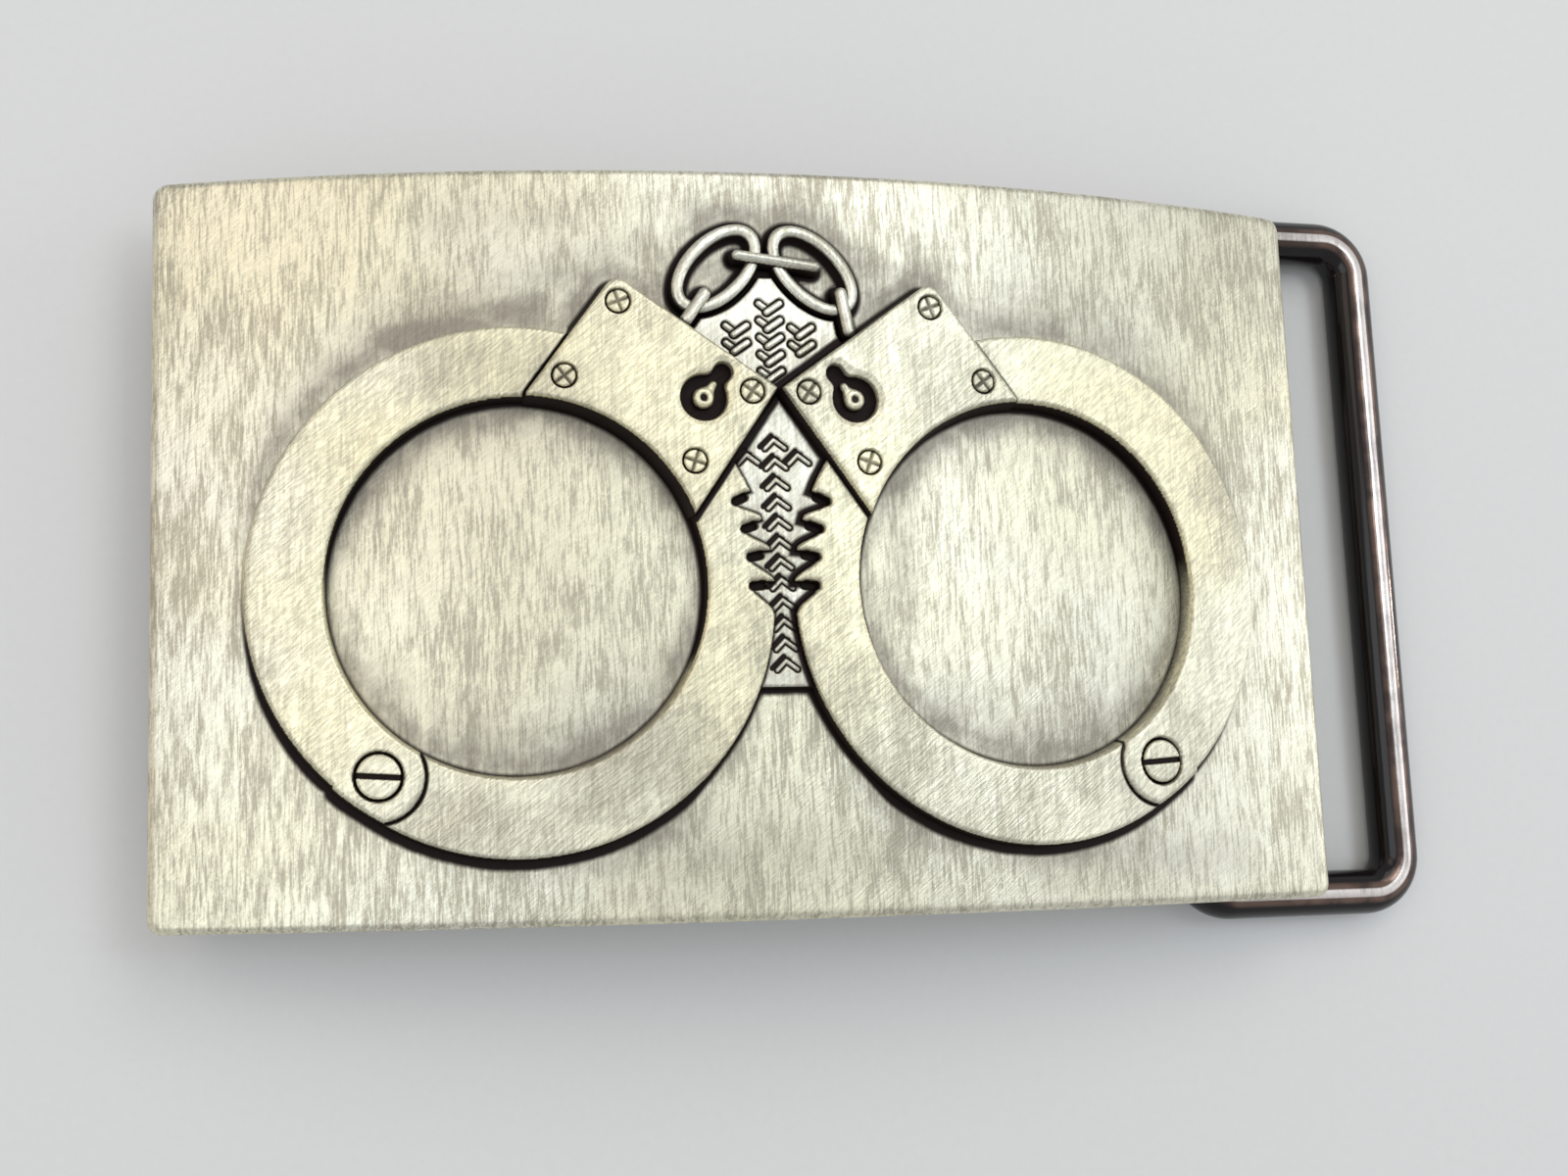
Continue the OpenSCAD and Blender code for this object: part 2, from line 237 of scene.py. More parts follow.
def rounded(points: Sequence[Point], radii: Sequence[float]) -> list[Point]:
    """Corner points with each corner rounded to its own radius.

    Args:
        points: the corners in order.
        radii: one radius per corner.

    Returns:
        The points of the rounded outline.
    """
    made: list[Point] = []
    count = len(points)
    for i, radius in enumerate(radii):
        a, b, c = (Vector(points[(i + k) % count]) for k in (-1, 0, 1))
        u, v = (a - b).normalized(), (c - b).normalized()
        half = math.acos(max(-1.0, min(1.0, u.dot(v)))) / 2
        mid = b + (u + v).normalized() * radius / math.sin(half)
        start = b + u * radius / math.tan(half) - mid
        end = b + v * radius / math.tan(half) - mid
        first = math.atan2(start.y, start.x)
        turn = (math.atan2(end.y, end.x) - first + math.pi) % math.tau - math.pi
        for step in range(ARC_STEPS + 1):
            x, y = polar(radius, math.degrees(first + turn * step / ARC_STEPS))
            made.append((mid.x + x, mid.y + y))
    return made


# ---------------------------------------------------------------- the bent face


@dataclass(frozen=True)
class Face:
    """The bent plate that everything is laid on, in millimetres from the plate's middle."""

    length: float = 82.0
    height: float = 50.0
    thick: float = 2.4
    bend_r: float = 148.0
    corner_r: float = 1.0
    hinge_in: float = 8.0
    hinge_drop: float = 4.4
    wire_r: float = 1.65
    lug_r: float = 2.65
    reach: float = 16.85

    @property
    def hinge_x(self) -> float:
        """Where the hinge stands along the plate."""
        return self.length / 2 - self.hinge_in

    @property
    def crown(self) -> float:
        """Height of the face's crown above the floor."""
        sag = math.sqrt((self.bend_r - self.thick) ** 2 - self.hinge_x**2)
        return self.lug_r + self.hinge_drop + self.bend_r - sag

    @property
    def slope(self) -> float:
        """Angle at which the bail leans down to the floor, in radians."""
        return math.asin((self.lug_r - self.wire_r) / self.reach)

    @property
    def middle(self) -> float:
        """The whole outline's middle, measured from the plate's middle."""
        bar = self.hinge_x + self.reach * math.cos(self.slope)
        return (bar + self.wire_r - self.length / 2) / 2

    def lift(self, x: Grid, y: Grid, h: Grid) -> Grid:
        """Points at height h above the face, in metres in the row frame.

        Args:
            x: distance along the plate from its middle.
            y: distance up the plate.
            h: height above the face, square to it.

        Returns:
            An array of points.
        """
        z = self.crown - self.bend_r + np.sqrt((self.bend_r + h) ** 2 - x**2)
        return np.stack([x - self.middle, y, z], axis=-1).reshape(-1, 3) * MM

    def back_z(self, x: float) -> float:
        """Height of the plate's back above the floor at x, in millimetres."""
        return self.crown - self.bend_r + math.sqrt((self.bend_r - self.thick) ** 2 - x * x)


# ---------------------------------------------------------------- shader maths


class Signal:
    """A shader socket that can be used in Python sums."""

    def __init__(self, bench: "Bench", socket: bpy.types.NodeSocket) -> None:
        """Args:
            bench: the material it is made in.
            socket: the output it stands for.
        """
        self.bench = bench
        self.socket = socket

    def _math(self, operation: str, *values: "Signal | float") -> "Signal":
        """A Math node on these values."""
        return self.bench.node("ShaderNodeMath", {"operation": operation}, dict(enumerate(values)))

    def __add__(self, other: "Signal | float") -> "Signal":
        """self + other."""
        return self._math("ADD", self, other)

    __radd__ = __add__

    def __sub__(self, other: "Signal | float") -> "Signal":
        """self - other."""
        return self._math("SUBTRACT", self, other)

    def __rsub__(self, other: "Signal | float") -> "Signal":
        """other - self."""
        return self._math("SUBTRACT", other, self)

    def __mul__(self, other: "Signal | float") -> "Signal":
        """self * other."""
        return self._math("MULTIPLY", self, other)

    __rmul__ = __mul__

    def __truediv__(self, other: "Signal | float") -> "Signal":
        """self / other."""
        return self._math("DIVIDE", self, other)

    def __rtruediv__(self, other: "Signal | float") -> "Signal":
        """other / self."""
        return self._math("DIVIDE", other, self)

    def __pow__(self, other: "Signal | float") -> "Signal":
        """self to the power of other."""
        return self._math("POWER", self, other)

    def most(self, other: "Signal | float") -> "Signal":
        """The larger of the two."""
        return self._math("MAXIMUM", self, other)

    def step(self, low: float, high: float, start: float = 0.0, end: float = 1.0) -> "Signal":
        """A smooth step from start, below low, to end, above high."""
        settings = {"interpolation_type": "SMOOTHSTEP", "clamp": True}
        feeds = {"Value": self, "From Min": low, "From Max": high, "To Min": start, "To Max": end}
        return self.bench.node("ShaderNodeMapRange", settings, feeds)


class Bench:
    """One material being made."""

    def __init__(self, name: str) -> None:
        """Starts an empty material of that name."""
        self.material = bpy.data.materials.new(name)
        self.material.use_nodes = True
        self.tree = self.material.node_tree
        self.tree.nodes.clear()

    def node(
        self, kind: str, settings: dict[str, object], feeds: dict, out: int | str = 0
    ) -> Signal:
        """Adds a node.

        Args:
            kind: the node's type.
            settings: its properties, set before its sockets are used.
            feeds: socket name or number to a value, a colour, a vector or a Signal.
            out: which output to hand back.

        Returns:
            That output as a Signal.
        """
        made = self.tree.nodes.new(kind)
        for key, value in settings.items():
            setattr(made, key, value)
        for key, value in feeds.items():
            if isinstance(value, Signal):
                self.tree.links.new(value.socket, made.inputs[key])
            else:
                made.inputs[key].default_value = value
        return Signal(self, made.outputs[out])

    def place(self) -> Signal:
        """The surface point in the row frame, in millimetres."""
        here = self.node("ShaderNodeTexCoord", {}, {}, "Object")
        return self.node("ShaderNodeVectorMath", {"operation": "SCALE"}, {0: here, "Scale": 1000.0})

    def stretched(self, place: Signal, by: Sequence[float], turn: float = 0.0) -> Signal:
        """The point turned about Z by so many degrees, then stretched along each axis."""
        turned = place
        if turn:
            turned = self.node(
                "ShaderNodeVectorRotate",
                {"rotation_type": "Z_AXIS"},
                {"Vector": place, "Angle": math.radians(turn)},
            )
        return self.node(
            "ShaderNodeVectorMath", {"operation": "MULTIPLY"}, {0: turned, 1: tuple(by)}
        )

    def noise(self, place: Signal, scale: float, detail: float = 2.0, rough: float = 0.5) -> Signal:
        """Smooth noise from 0 to 1 about the point."""
        feeds = {"Vector": place, "Scale": scale, "Detail": detail, "Roughness": rough}
        return self.node("ShaderNodeTexNoise", {"noise_dimensions": "3D"}, feeds)

    def mark(self, name: str) -> Signal:
        """A number that the mesh carries at each point."""
        return self.node("ShaderNodeAttribute", {"attribute_name": name}, {}, "Fac")

    def blend(self, share: Signal | float, a: Signal | Sequence, b: Signal | Sequence) -> Signal:
        """The colour between a and b."""
        return self.node("ShaderNodeMix", {"data_type": "RGBA"}, {0: share, 6: a, 7: b}, 2)

    def tint(self, colour: Signal | Sequence, factor: Signal) -> Signal:
        """The colour made brighter or darker by a factor."""
        settings = {"operation": "SCALE"}
        return self.node("ShaderNodeVectorMath", settings, {0: colour, "Scale": factor})

    def bump(self, height: Signal, depth_mm: float, strength: float = 1.0) -> Signal:
        """A surface normal from a height from 0 to 1 that stands for so many millimetres."""
        feeds = {"Height": height, "Distance": depth_mm * MM, "Strength": strength}
        return self.node("ShaderNodeBump", {}, feeds)

    def finish(self, **feeds: Signal | float | Sequence) -> bpy.types.Material:
        """Ends the material in one Principled shader.

        Args:
            feeds: socket names, with _ for a space, to their values.

        Returns:
            The finished material.
        """
        named = {key.replace("_", " "): value for key, value in feeds.items()}
        shader = self.node("ShaderNodeBsdfPrincipled", {}, named)
        end = self.tree.nodes.new("ShaderNodeOutputMaterial")
        self.tree.links.new(shader.socket, end.inputs["Surface"])
        return self.material


@dataclass(frozen=True)
class AntiqueBrass:
    """Pale brass, brushed by hand, with patina in its hollows, and painted shadow and shade by its
    relief.
    """

    name: str
    bright: Colour = (0.80, 0.765, 0.585, 1)
    pale: Colour = (0.80, 0.80, 0.70, 1)
    dull: Colour = (0.46, 0.43, 0.33, 1)
    shade_grey: Colour = (0.27, 0.245, 0.205, 1)
    tarnish_and_shadow: Colour = (0.014, 0.008, 0.007, 1)
    brush_turn: float = 0.0
    brush: float = 0.5
    scratch: float = 0.35
    rough: float = 0.34
    contact: float = 0.6
    relief_mm: float = 0.042
    metal: float = 0.92
    gloss: float = 0.14

    def material(self) -> bpy.types.Material:
        """Makes the material."""
        b = Bench(self.name)
        p = b.place()
        fine = b.noise(b.stretched(p, (5.2, 0.5, 5.2), self.brush_turn), 1.0, 4.0, 0.65)
        broad = b.noise(b.stretched(p, (1.1, 0.14, 1.1), self.brush_turn + 3), 1.0, 3.0, 0.55)
        cross = b.noise(b.stretched(p, (0.3, 2.6, 2.6), 9), 1.0, 2.0, 0.5)
        nick = b.noise(b.stretched(p, (7.5, 0.8, 4.0), 50), 1.0, 2.0, 0.6)
        patch = b.noise(p, 0.12, 2.0, 0.5)
        warm = b.noise(b.stretched(p, (0.05, 0.07, 0.05)), 1.0, 1.0, 0.5)
        mist = b.noise(p, 0.5, 4.0, 0.6)
        grain = b.noise(p, 6.0, 3.0, 0.6)
        near, dark, shade = b.mark("near"), b.mark("dark"), b.mark("shade")
        strokes = (fine * 0.6 + broad * 0.55 + (cross - 0.5) * 0.1).step(0.3, 0.85)
        streaks = (fine * 0.8 + grain * 0.25).step(0.38, 0.66)
        wear = patch.step(0.35, 0.7) * 0.45 + (0.5 - strokes) * self.brush + 0.23
        wear = wear + (0.5 - streaks) * self.brush * 0.75
        lit = b.blend(warm.step(0.42, 0.66) * 0.6, self.bright, self.pale)
        base = b.blend(wear.step(0.0, 1.0), lit, self.dull)
        # Painted shade and darker patches: blended towards a grey where the shade mark is high and
        # within a few millimetres of a raised neighbour, varied by noise.
        halo = near.step(0.2, 2.4, 1.0, 0.0)
        shade_share = (shade * (0.3 + mist * 1.3) + halo * (mist * 0.9 - 0.1)).step(0.05, 1.1)
        base = b.blend(shade_share * 0.9, base, self.shade_grey)
        # The near-black line at the foot of a raised neighbour and the dark rim marks are partly
        # patina in the crevice and partly painted contact shadow.
        edge = near + (mist - 0.5) * 0.35 * self.contact
        line = edge.step(self.contact * 0.45, self.contact, 1.0, 0.0)
        full = (dark + (mist - 0.5) * 0.2).step(0.22, 0.62).most(line)
        colour = b.blend(full, base, self.tarnish_and_shadow)
        speck = 1.0 + (grain - 0.5) * 0.14 + (nick.step(0.38, 0.62) - 0.5) * self.scratch * 0.3
        roughness = self.rough + (1.0 - strokes) * 0.14 + shade_share * 0.1 + full * 0.2
        height = fine * 0.6 + broad * 0.2 + nick * self.scratch * 1.7 + grain * 0.12
        return b.finish(
            Base_Color=b.tint(colour, speck),
            Metallic=self.metal - full * 0.84,
            Roughness=roughness,
            Specular_IOR_Level=self.gloss,
            Normal=b.bump(height, self.relief_mm, 0.8),
        )


@dataclass(frozen=True)
class DarkNickel:
    """Near-black nickel plate, glossy, with fine drawing lines, a painted white highlight along the
    top of the wire and a painted brownish sheen beside it.
    """

    name: str
    plate: Colour = (0.009, 0.007, 0.007, 1)
    sheen_brown: Colour = (0.22, 0.145, 0.115, 1)
    rub: Colour = (0.86, 0.80, 0.76, 1)
    rough: float = 0.1
    gloss: float = 0.32
    relief_mm: float = 0.006

    def material(self) -> bpy.types.Material:
        """Makes the material."""
        b = Bench(self.name)
        p = b.place()
        mist = b.noise(p, 0.35, 4.0, 0.6)
        drawn = b.noise(b.stretched(p, (7.0, 0.5, 7.0)), 1.0, 2.0, 0.5)
        grain = b.noise(p, 6.0, 3.0, 0.6)
        along = b.mark("ridge")
        # Painted highlight: a narrow near-white streak on the top of the wire, broken by noise, over a
        # brownish painted sheen.
        streak_break = (drawn * 0.5 + mist * 0.8).step(0.42, 0.72)
        sheen = along.step(0.85, 0.955) * (0.25 + mist.step(0.38, 0.62) * 0.6)
        painted_light = along.step(0.972, 0.993) * (0.55 + streak_break * 0.45)
        colour = b.blend(painted_light, b.blend(sheen, self.plate, self.sheen_brown), self.rub)
        rough = self.rough + mist * 0.05 + grain.step(0.55, 0.8) * 0.05 + painted_light * 0.14
        return b.finish(
            Base_Color=colour,
            Metallic=0.1 + (sheen * 0.7).most(painted_light) * 0.85,
            Roughness=rough,
            Specular_IOR_Level=self.gloss,
            Normal=b.bump(drawn * 0.7 + grain * 0.3, self.relief_mm, 0.6),
        )


@dataclass(frozen=True)
class CastBrass:
    """Dull brass of the back, with a fine cast grain."""

    name: str
    skin: Colour = (0.40, 0.34, 0.23, 1)
    shade: Colour = (0.17, 0.14, 0.105, 1)
    metal: float = 0.9
    rough: float = 0.42
    relief_mm: float = 0.03

    def material(self) -> bpy.types.Material:
        """Makes the material."""
        b = Bench(self.name)
        p = b.place()
        sand = b.noise(p, 3.2, 5.0, 0.65)
        patch = b.noise(p, 0.3, 4.0, 0.6)
        lines = b.noise(b.stretched(p, (0.25, 3.0, 3.0)), 1.0, 3.0, 0.6)
        low = b.mark("dark")
        dark = (patch.step(0.38, 0.75) * 0.6 + low.step(0.1, 0.9) * 0.8).step(0.0, 1.0)
        colour = b.tint(b.blend(dark, self.skin, self.shade), 0.86 + sand * 0.28)
        return b.finish(
            Base_Color=colour,
            Metallic=self.metal,
            Roughness=self.rough + sand * 0.2 + dark * 0.12,
            Normal=b.bump(sand * 0.7 + lines * 0.3, self.relief_mm, 0.7),
        )


@dataclass(frozen=True)
class PaleFloor:
    """Matt pale floor with a faint tooth."""

    name: str
    shade: Colour = (0.70, 0.70, 0.69, 1)
    rough: float = 0.6
    relief_mm: float = 0.03

    def material(self) -> bpy.types.Material:
        """Makes the material."""
        b = Bench(self.name)
        tooth = b.noise(b.place(), 1.4, 4.0, 0.6)
        return b.finish(
            Base_Color=b.tint(self.shade[:3], 0.97 + tooth * 0.06),
            Roughness=self.rough + tooth * 0.15,
            Normal=b.bump(tooth, self.relief_mm, 0.5),
        )


# ---------------------------------------------------------------- mesh tools


class MeshMaker:
    """Turns arrays of points and faces into pieces."""

    @staticmethod
    def piece(
        name: str,
        points: Grid,
        faces: Iterable[Sequence[int]],
        marks: dict[str, Grid] | None = None,
    ) -> bpy.types.Object:
        """Makes an object.

        Args:
            name: its name.
            points: its points in metres.
            faces: the point numbers of each face.
            marks: numbers that its points carry for the finish.

        Returns:
            The object, in the scene.
        """
        mesh = bpy.data.meshes.new(name)
        mesh.from_pydata(points.tolist(), [], [list(f) for f in faces])
        for key, values in (marks or {}).items():
            layer = mesh.attributes.new(key, "FLOAT", "POINT")
            layer.data.foreach_set("value", np.asarray(values, np.float32))
        mesh.polygons.foreach_set("use_smooth", np.ones(len(mesh.polygons), bool))
        mesh.validate()
        made = bpy.data.objects.new(name, mesh)
        bpy.context.scene.collection.objects.link(made)
        return made

    @staticmethod
    def quads(index: Grid) -> Grid:
        """The four point numbers round each cell of a grid of point numbers."""
        return np.stack([index[:-1, :-1], index[1:, :-1], index[1:, 1:], index[:-1, 1:]], -1)

    @staticmethod
    def outward(made: bpy.types.Object, weld: float = 0.0) -> bpy.types.Object:
        """Turns a piece's faces outwards, after it joins points that near, in metres."""
        work = bmesh.new()
        work.from_mesh(made.data)
        if weld:
            bmesh.ops.remove_doubles(work, verts=work.verts, dist=weld)
        bmesh.ops.recalc_face_normals(work, faces=work.faces)
        work.to_mesh(made.data)
        work.free()
        return made

    @staticmethod
    def close_under(made: bpy.types.Object, foot: Callable[[Grid], Grid]) -> None:
        """Draws the open rim down to its foot and closes it underneath.

        Args:
            made: the piece whose rim is open.
            foot: gives the foot's points below rim points, in metres.
        """
        work = bmesh.new()
        work.from_mesh(made.data)
        rim = [e for e in work.edges if e.is_boundary]
        drawn = bmesh.ops.extrude_edge_only(work, edges=rim)["geom"]
        low = [g for g in drawn if isinstance(g, bmesh.types.BMVert)]
        for v, at in zip(low, foot(np.array([v.co[:] for v in low]))):
            v.co = at
        bmesh.ops.edgeloop_fill(work, edges=[e for e in work.edges if e.is_boundary])
        bmesh.ops.recalc_face_normals(work, faces=work.faces)
        for f in work.faces:
            f.smooth = len(f.verts) < 5
        work.to_mesh(made.data)
        work.free()

    @staticmethod
    def rings(
        name: str, loops: Grid, wrap: bool, capped: bool, marks: dict[str, Grid] | None = None
    ) -> bpy.types.Object:
        """Skins a row of closed loops.

        Args:
            name: the piece's name.
            loops: points by loop and place round it, in metres.
            wrap: whether the last loop joins the first.
            capped: whether the two end loops are closed with a face.
            marks: numbers carried by each point, in the same order.

        Returns:
            The object.
        """
        rows, count = loops.shape[:2]
        faces: list[list[int]] = []
        for i in range(rows if wrap else rows - 1):
            j = (i + 1) % rows
            for k in range(count):
                m = (k + 1) % count
                faces.append([i * count + k, j * count + k, j * count + m, i * count + m])
        if capped:
            faces.append(list(range(count)))
            faces.append([(rows - 1) * count + k for k in reversed(range(count))])
        return MeshMaker.outward(MeshMaker.piece(name, loops.reshape(-1, 3), faces, marks))


@dataclass
class Relief:
    """A raised piece of the face, made from its outline and the height of its surface.

    Its walls lean out by `draft` below the rim and end `sink` inside the plate. Its points
    carry marks for the finish: how dark it is there, from patina in its cuts and a rim line
    that is partly patina in the crevice and partly painted shadow, and how far the neighbours
    `beside` it are, in millimetres. A given share of the rim line is lifted as painted light
    from rims that face up the plate, so that the painted shadow stays on rims that face down.
    """

    face: Face
    name: str
    outline: Outline
    height: Callable[[Grid, Grid, Grid], Grid]
    box: Box
    step: float = 0.1
    dark: Law = lambda x, y: np.zeros(np.shape(x))
    beside: Outline = field(default_factory=Outline.none)
    draft: float = 0.16
    painted_light: Law = lambda x, y: np.zeros(np.shape(x))
    sink: float = 0.14

    def _edge_points(self, x: Grid, y: Grid) -> tuple[Grid, Grid]:
        """Moves points just outside the outline on to it."""
        for _ in range(4):
            d = self.outline(x, y)
            gx, gy = self.outline.slope(x, y)
            pull = np.clip(d, -self.step, self.step) / np.maximum(gx * gx + gy * gy, 0.3)
            x, y = x - pull * gx, y - pull * gy
        return x, y

    def _foot(self, points: Grid, drop: float) -> Grid:
        """Points of the foot below rim points, in metres, a drop in millimetres further down."""
        x, y = points[:, 0] / MM + self.face.middle, points[:, 1] / MM
        gx, gy = self.outline.slope(x, y)
        out = self.draft / np.maximum(np.hypot(gx, gy), 0.5)
        return points - np.stack([gx * out, gy * out, np.full(len(x), drop)], -1) * MM

    def build(self) -> bpy.types.Object:
        """Makes the piece.

        Returns:
            A closed mesh.
        """
        x0, y0, x1, y1 = self.box
        x, y = np.meshgrid(
            np.arange(x0, x1 + self.step, self.step),
            np.arange(y0, y1 + self.step, self.step),
            indexing="ij",
        )
        inside = self.outline(x, y) > 0.3 * self.step
        cell = inside[:-1, :-1] | inside[1:, :-1] | inside[:-1, 1:] | inside[1:, 1:]
        used = np.zeros_like(inside)
        for i in (slice(None, -1), slice(1, None)):
            for j in (slice(None, -1), slice(1, None)):
                used[i, j] |= cell
        rim = used & ~inside
        x[rim], y[rim] = self._edge_points(x[rim], y[rim])
        index = np.full(used.shape, -1)
        index[used] = np.arange(used.sum())
        quads = MeshMaker.quads(index)[cell]
        px, py = x[used], y[used]
        h = self.height(px, py, np.maximum(self.outline(px, py), 0))
        # Painted shadow: the rim line is lifted where the rim faces up the plate and kept where it
        # faces down.
        rim_lit = self.painted_light(px, py) * faces_light(self.outline.slope(px, py)[1])
        marks = {
            "dark": np.maximum(np.clip(self.dark(px, py), 0, 1), rim[used] * (1 - rim_lit)),
            "near": np.clip(-self.beside(px, py), 0, FAR),
            "shade": np.zeros(len(px)),
        }
        made = MeshMaker.piece(self.name, self.face.lift(px, py, h), quads.tolist(), marks)
        drop = float(h[rim[used]].max()) + self.sink
        MeshMaker.close_under(made, lambda points: self._foot(points, drop))
        return made


def swell(inner: Grid, width: float, section: Section, lip: float = 0.62) -> Grid:
    """Height share of a section: from its lip at the rim to full height over a width."""
    t = np.clip(inner / width, 0, 1)
    return lip + (1 - lip) * (1 - (1 - t) ** section.value) ** (1 / section.value)


def groove(shape: Outline, x: Grid, y: Grid, slope: float) -> Grid:
    """How far a cut of that outline has gone down, from 0 at its edge to 1 a slope's width inside."""
    return smooth(-slope / 2, slope / 2, shape(x, y))


@dataclass
class SubAssembly:
    """A group of pieces that ride on one body."""

    face: Face
    body: str = "buckle"

    def dress(
        self, piece: bpy.types.Object, node: str, slot: str, material: bpy.types.Material
    ) -> None:
        """Gives a piece its finish and its body, and hides the imported solid that it stands for.

        Args:
            piece: the piece.
            node: the solid it stands for.
            slot: the record's finish; not used.
            material: its finish.
        """
        piece.data.materials.clear()
        piece.data.materials.append(material)
        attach(piece, self.body)
        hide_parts(node)
        LOG.info("%s: %d faces", piece.name, len(piece.data.polygons))


# ---------------------------------------------------------------- outlines of the relief


@dataclass(frozen=True)
class CuffPlan:
    """Flat outlines of one right-hand cuff and its lock case, from the plate's middle."""

    cuff: Point = (17.4, -3.3)
    opening_r: float = 12.3
    frame_r: float = 16.95
    frame_set: Point = (0.5, 0.1)
    arm_r: float = 16.75
    arm_drop: float = 0.65
    pivot: Point = (8.9, -12.0)
    boss_r: float = 2.95
    boss_out: float = 0.15
    teeth: int = 4
    tooth_start: float = 158.5
    tooth_pitch: float = 7.1
    tooth_depth: float = 1.55
    tooth_land: float = 1.2
    gullet_in: Point = (0.1, 1.0)
    gullet_out: Point = (0.75, 0.7)
    gullet_w: float = 0.54
    case: tuple[Point, ...] = ((-17.28, 12.8), (-6.6, 20.4), (-0.5, 12.25), (-11.4, 4.25))
    case_round: tuple[float, ...] = (0.1, 0.9, 0.5, 0.1)
    keyhole: Point = (-12.3, 12.1)
    keyhole_r: float = 1.55
    keyslot: Point = (-13.6, 13.8)
    keyslot_r: float = 0.62
    keyhole_fill: float = 0.7
    screws: tuple[Point, ...] = ((-6.8, 18.5), (-3.2, 13.55), (-15.5, 12.5), (-11.55, 7.85))

    def at(self, point: Point) -> Point:
        """A point given from the cuff's centre, from the plate's middle."""
        return (point[0] + self.cuff[0], point[1] + self.cuff[1])

    def opening(self) -> Outline:
        """The round opening."""
        return Outline.disc(self.cuff, self.opening_r)

    def case_outline(self) -> Outline:
        """The lock case."""
        plan = Outline.polygon(rounded([self.at(p) for p in self.case], self.case_round))
        return plan - self.opening()

    def sector(self) -> Outline:
        """The part of the cuff that belongs to the frame."""
        start = math.degrees(math.atan2(self.pivot[1], self.pivot[0]))
        end = math.degrees(math.atan2(self.case[1][1], self.case[1][0]))
        ring = [polar(50, start + (end - start) * i / 3) for i in range(4)]
        return Outline.polygon([self.at(p) for p in [(0.0, 0.0), *ring]])

    def boss(self) -> Outline:
        """The frame's rounded end round the pivot."""
        return Outline.disc(self.at(self.pivot), self.boss_r) & Outline.disc(
            self.at(self.frame_set), self.frame_r + self.boss_out
        )

    def frame(self) -> Outline:
        """The fixed frame."""
        ring = Outline.disc(self.at(self.frame_set), self.frame_r) & self.sector()
        return (ring | self.boss()) - self.opening() - self.case_outline()

    def tooth_angles(self) -> list[float]:
        """Where each gap between the arm's teeth begins, in degrees."""
        return [self.tooth_start + i * self.tooth_pitch for i in range(self.teeth)]

    def gaps(self) -> Outline:
        """The gaps between the arm's teeth, with bowed flanks."""
        low, far, found = self.arm_r - self.tooth_depth, self.arm_r + 1, Outline.none()
        land, run, sides = self.tooth_land, self.tooth_pitch - self.tooth_land, 8
        for a in self.tooth_angles():
            ring = [(low, a)]
            for k in range(sides + 1):
                t = k / sides
                ring.append((low + self.tooth_depth * t * t * (3 - 2 * t), a + land + run * t))
            ring += [(far, a + self.tooth_pitch), (far, a)]
            found |= Outline.polygon([self.at(polar(r, t)) for r, t in ring])
        return found

    def gullets(self) -> Outline:
        """The deep rounded bottoms of the gaps between the teeth."""
        found = Outline.none()
        (rise, inner_turn), (drop, outer_turn) = self.gullet_in, self.gullet_out
        for a in self.tooth_angles():
            inner = self.at(polar(self.arm_r - self.tooth_depth + rise, a + inner_turn))
            outer = self.at(polar(self.arm_r - drop, a + outer_turn))
            found |= Outline.bar(inner, outer, self.gullet_w)
        return found

    def arm(self) -> Outline:
        """The swinging arm."""
        ring = Outline.disc(self.at((0, -self.arm_drop)), self.arm_r) - self.opening()
        ring = ring - self.sector() - self.boss() - self.case_outline()
        return ring - self.gaps() - self.gullets()

    def keyhole_outline(self) -> Outline:
        """The keyhole."""
        slot = Outline.disc(self.at(self.keyslot), self.keyslot_r)
        return Outline.disc(self.at(self.keyhole), self.keyhole_r).melted(slot, self.keyhole_fill)


@dataclass(frozen=True)
class ChainPlan:
    """Flat outlines of the chain and of the two panels, from the plate's middle."""

    middle_x: float = -0.45
    length: float = 7.5
    width: float = 4.5
    wire: float = 0.85
    at: Point = (3.3, 17.85)
    tilt: float = 45.0
    middle_from: Point = (-2.42, 18.68)
    middle_to: Point = (2.9, 17.98)
    middle_w: float = 0.72
    left_swivel: tuple[Point, Point] = ((-5.96, 14.24), (-4.7, 16.0))
    right_swivel: tuple[Point, Point] = ((5.1, 13.63), (4.62, 16.2))
    swivel_w: float = 0.85

    def link_oval(self, side: Side, wider: float = 0.0) -> Outline:
        """An outer link's filled outline."""
        centre = (self.middle_x + side.value * self.at[0], self.at[1])
        length, width = self.length + 2 * wider, self.width + 2 * wider
        return Outline.oval(centre, length, width, -side.value * self.tilt)

    def link(self, side: Side) -> Outline:
        """An outer link."""
        return self.link_oval(side) - self.link_oval(side, -self.wire)

    def swivel(self, side: Side) -> Outline:
        """A swivel."""
        a, b = self.left_swivel if side is Side.LEFT else self.right_swivel
        return Outline.bar(a, b, self.swivel_w)

    def middle_link(self) -> Outline:
        """The middle link, seen edge on."""
        return Outline.bar(self.middle_from, self.middle_to, self.middle_w)


# ---------------------------------------------------------------- sub-assemblies


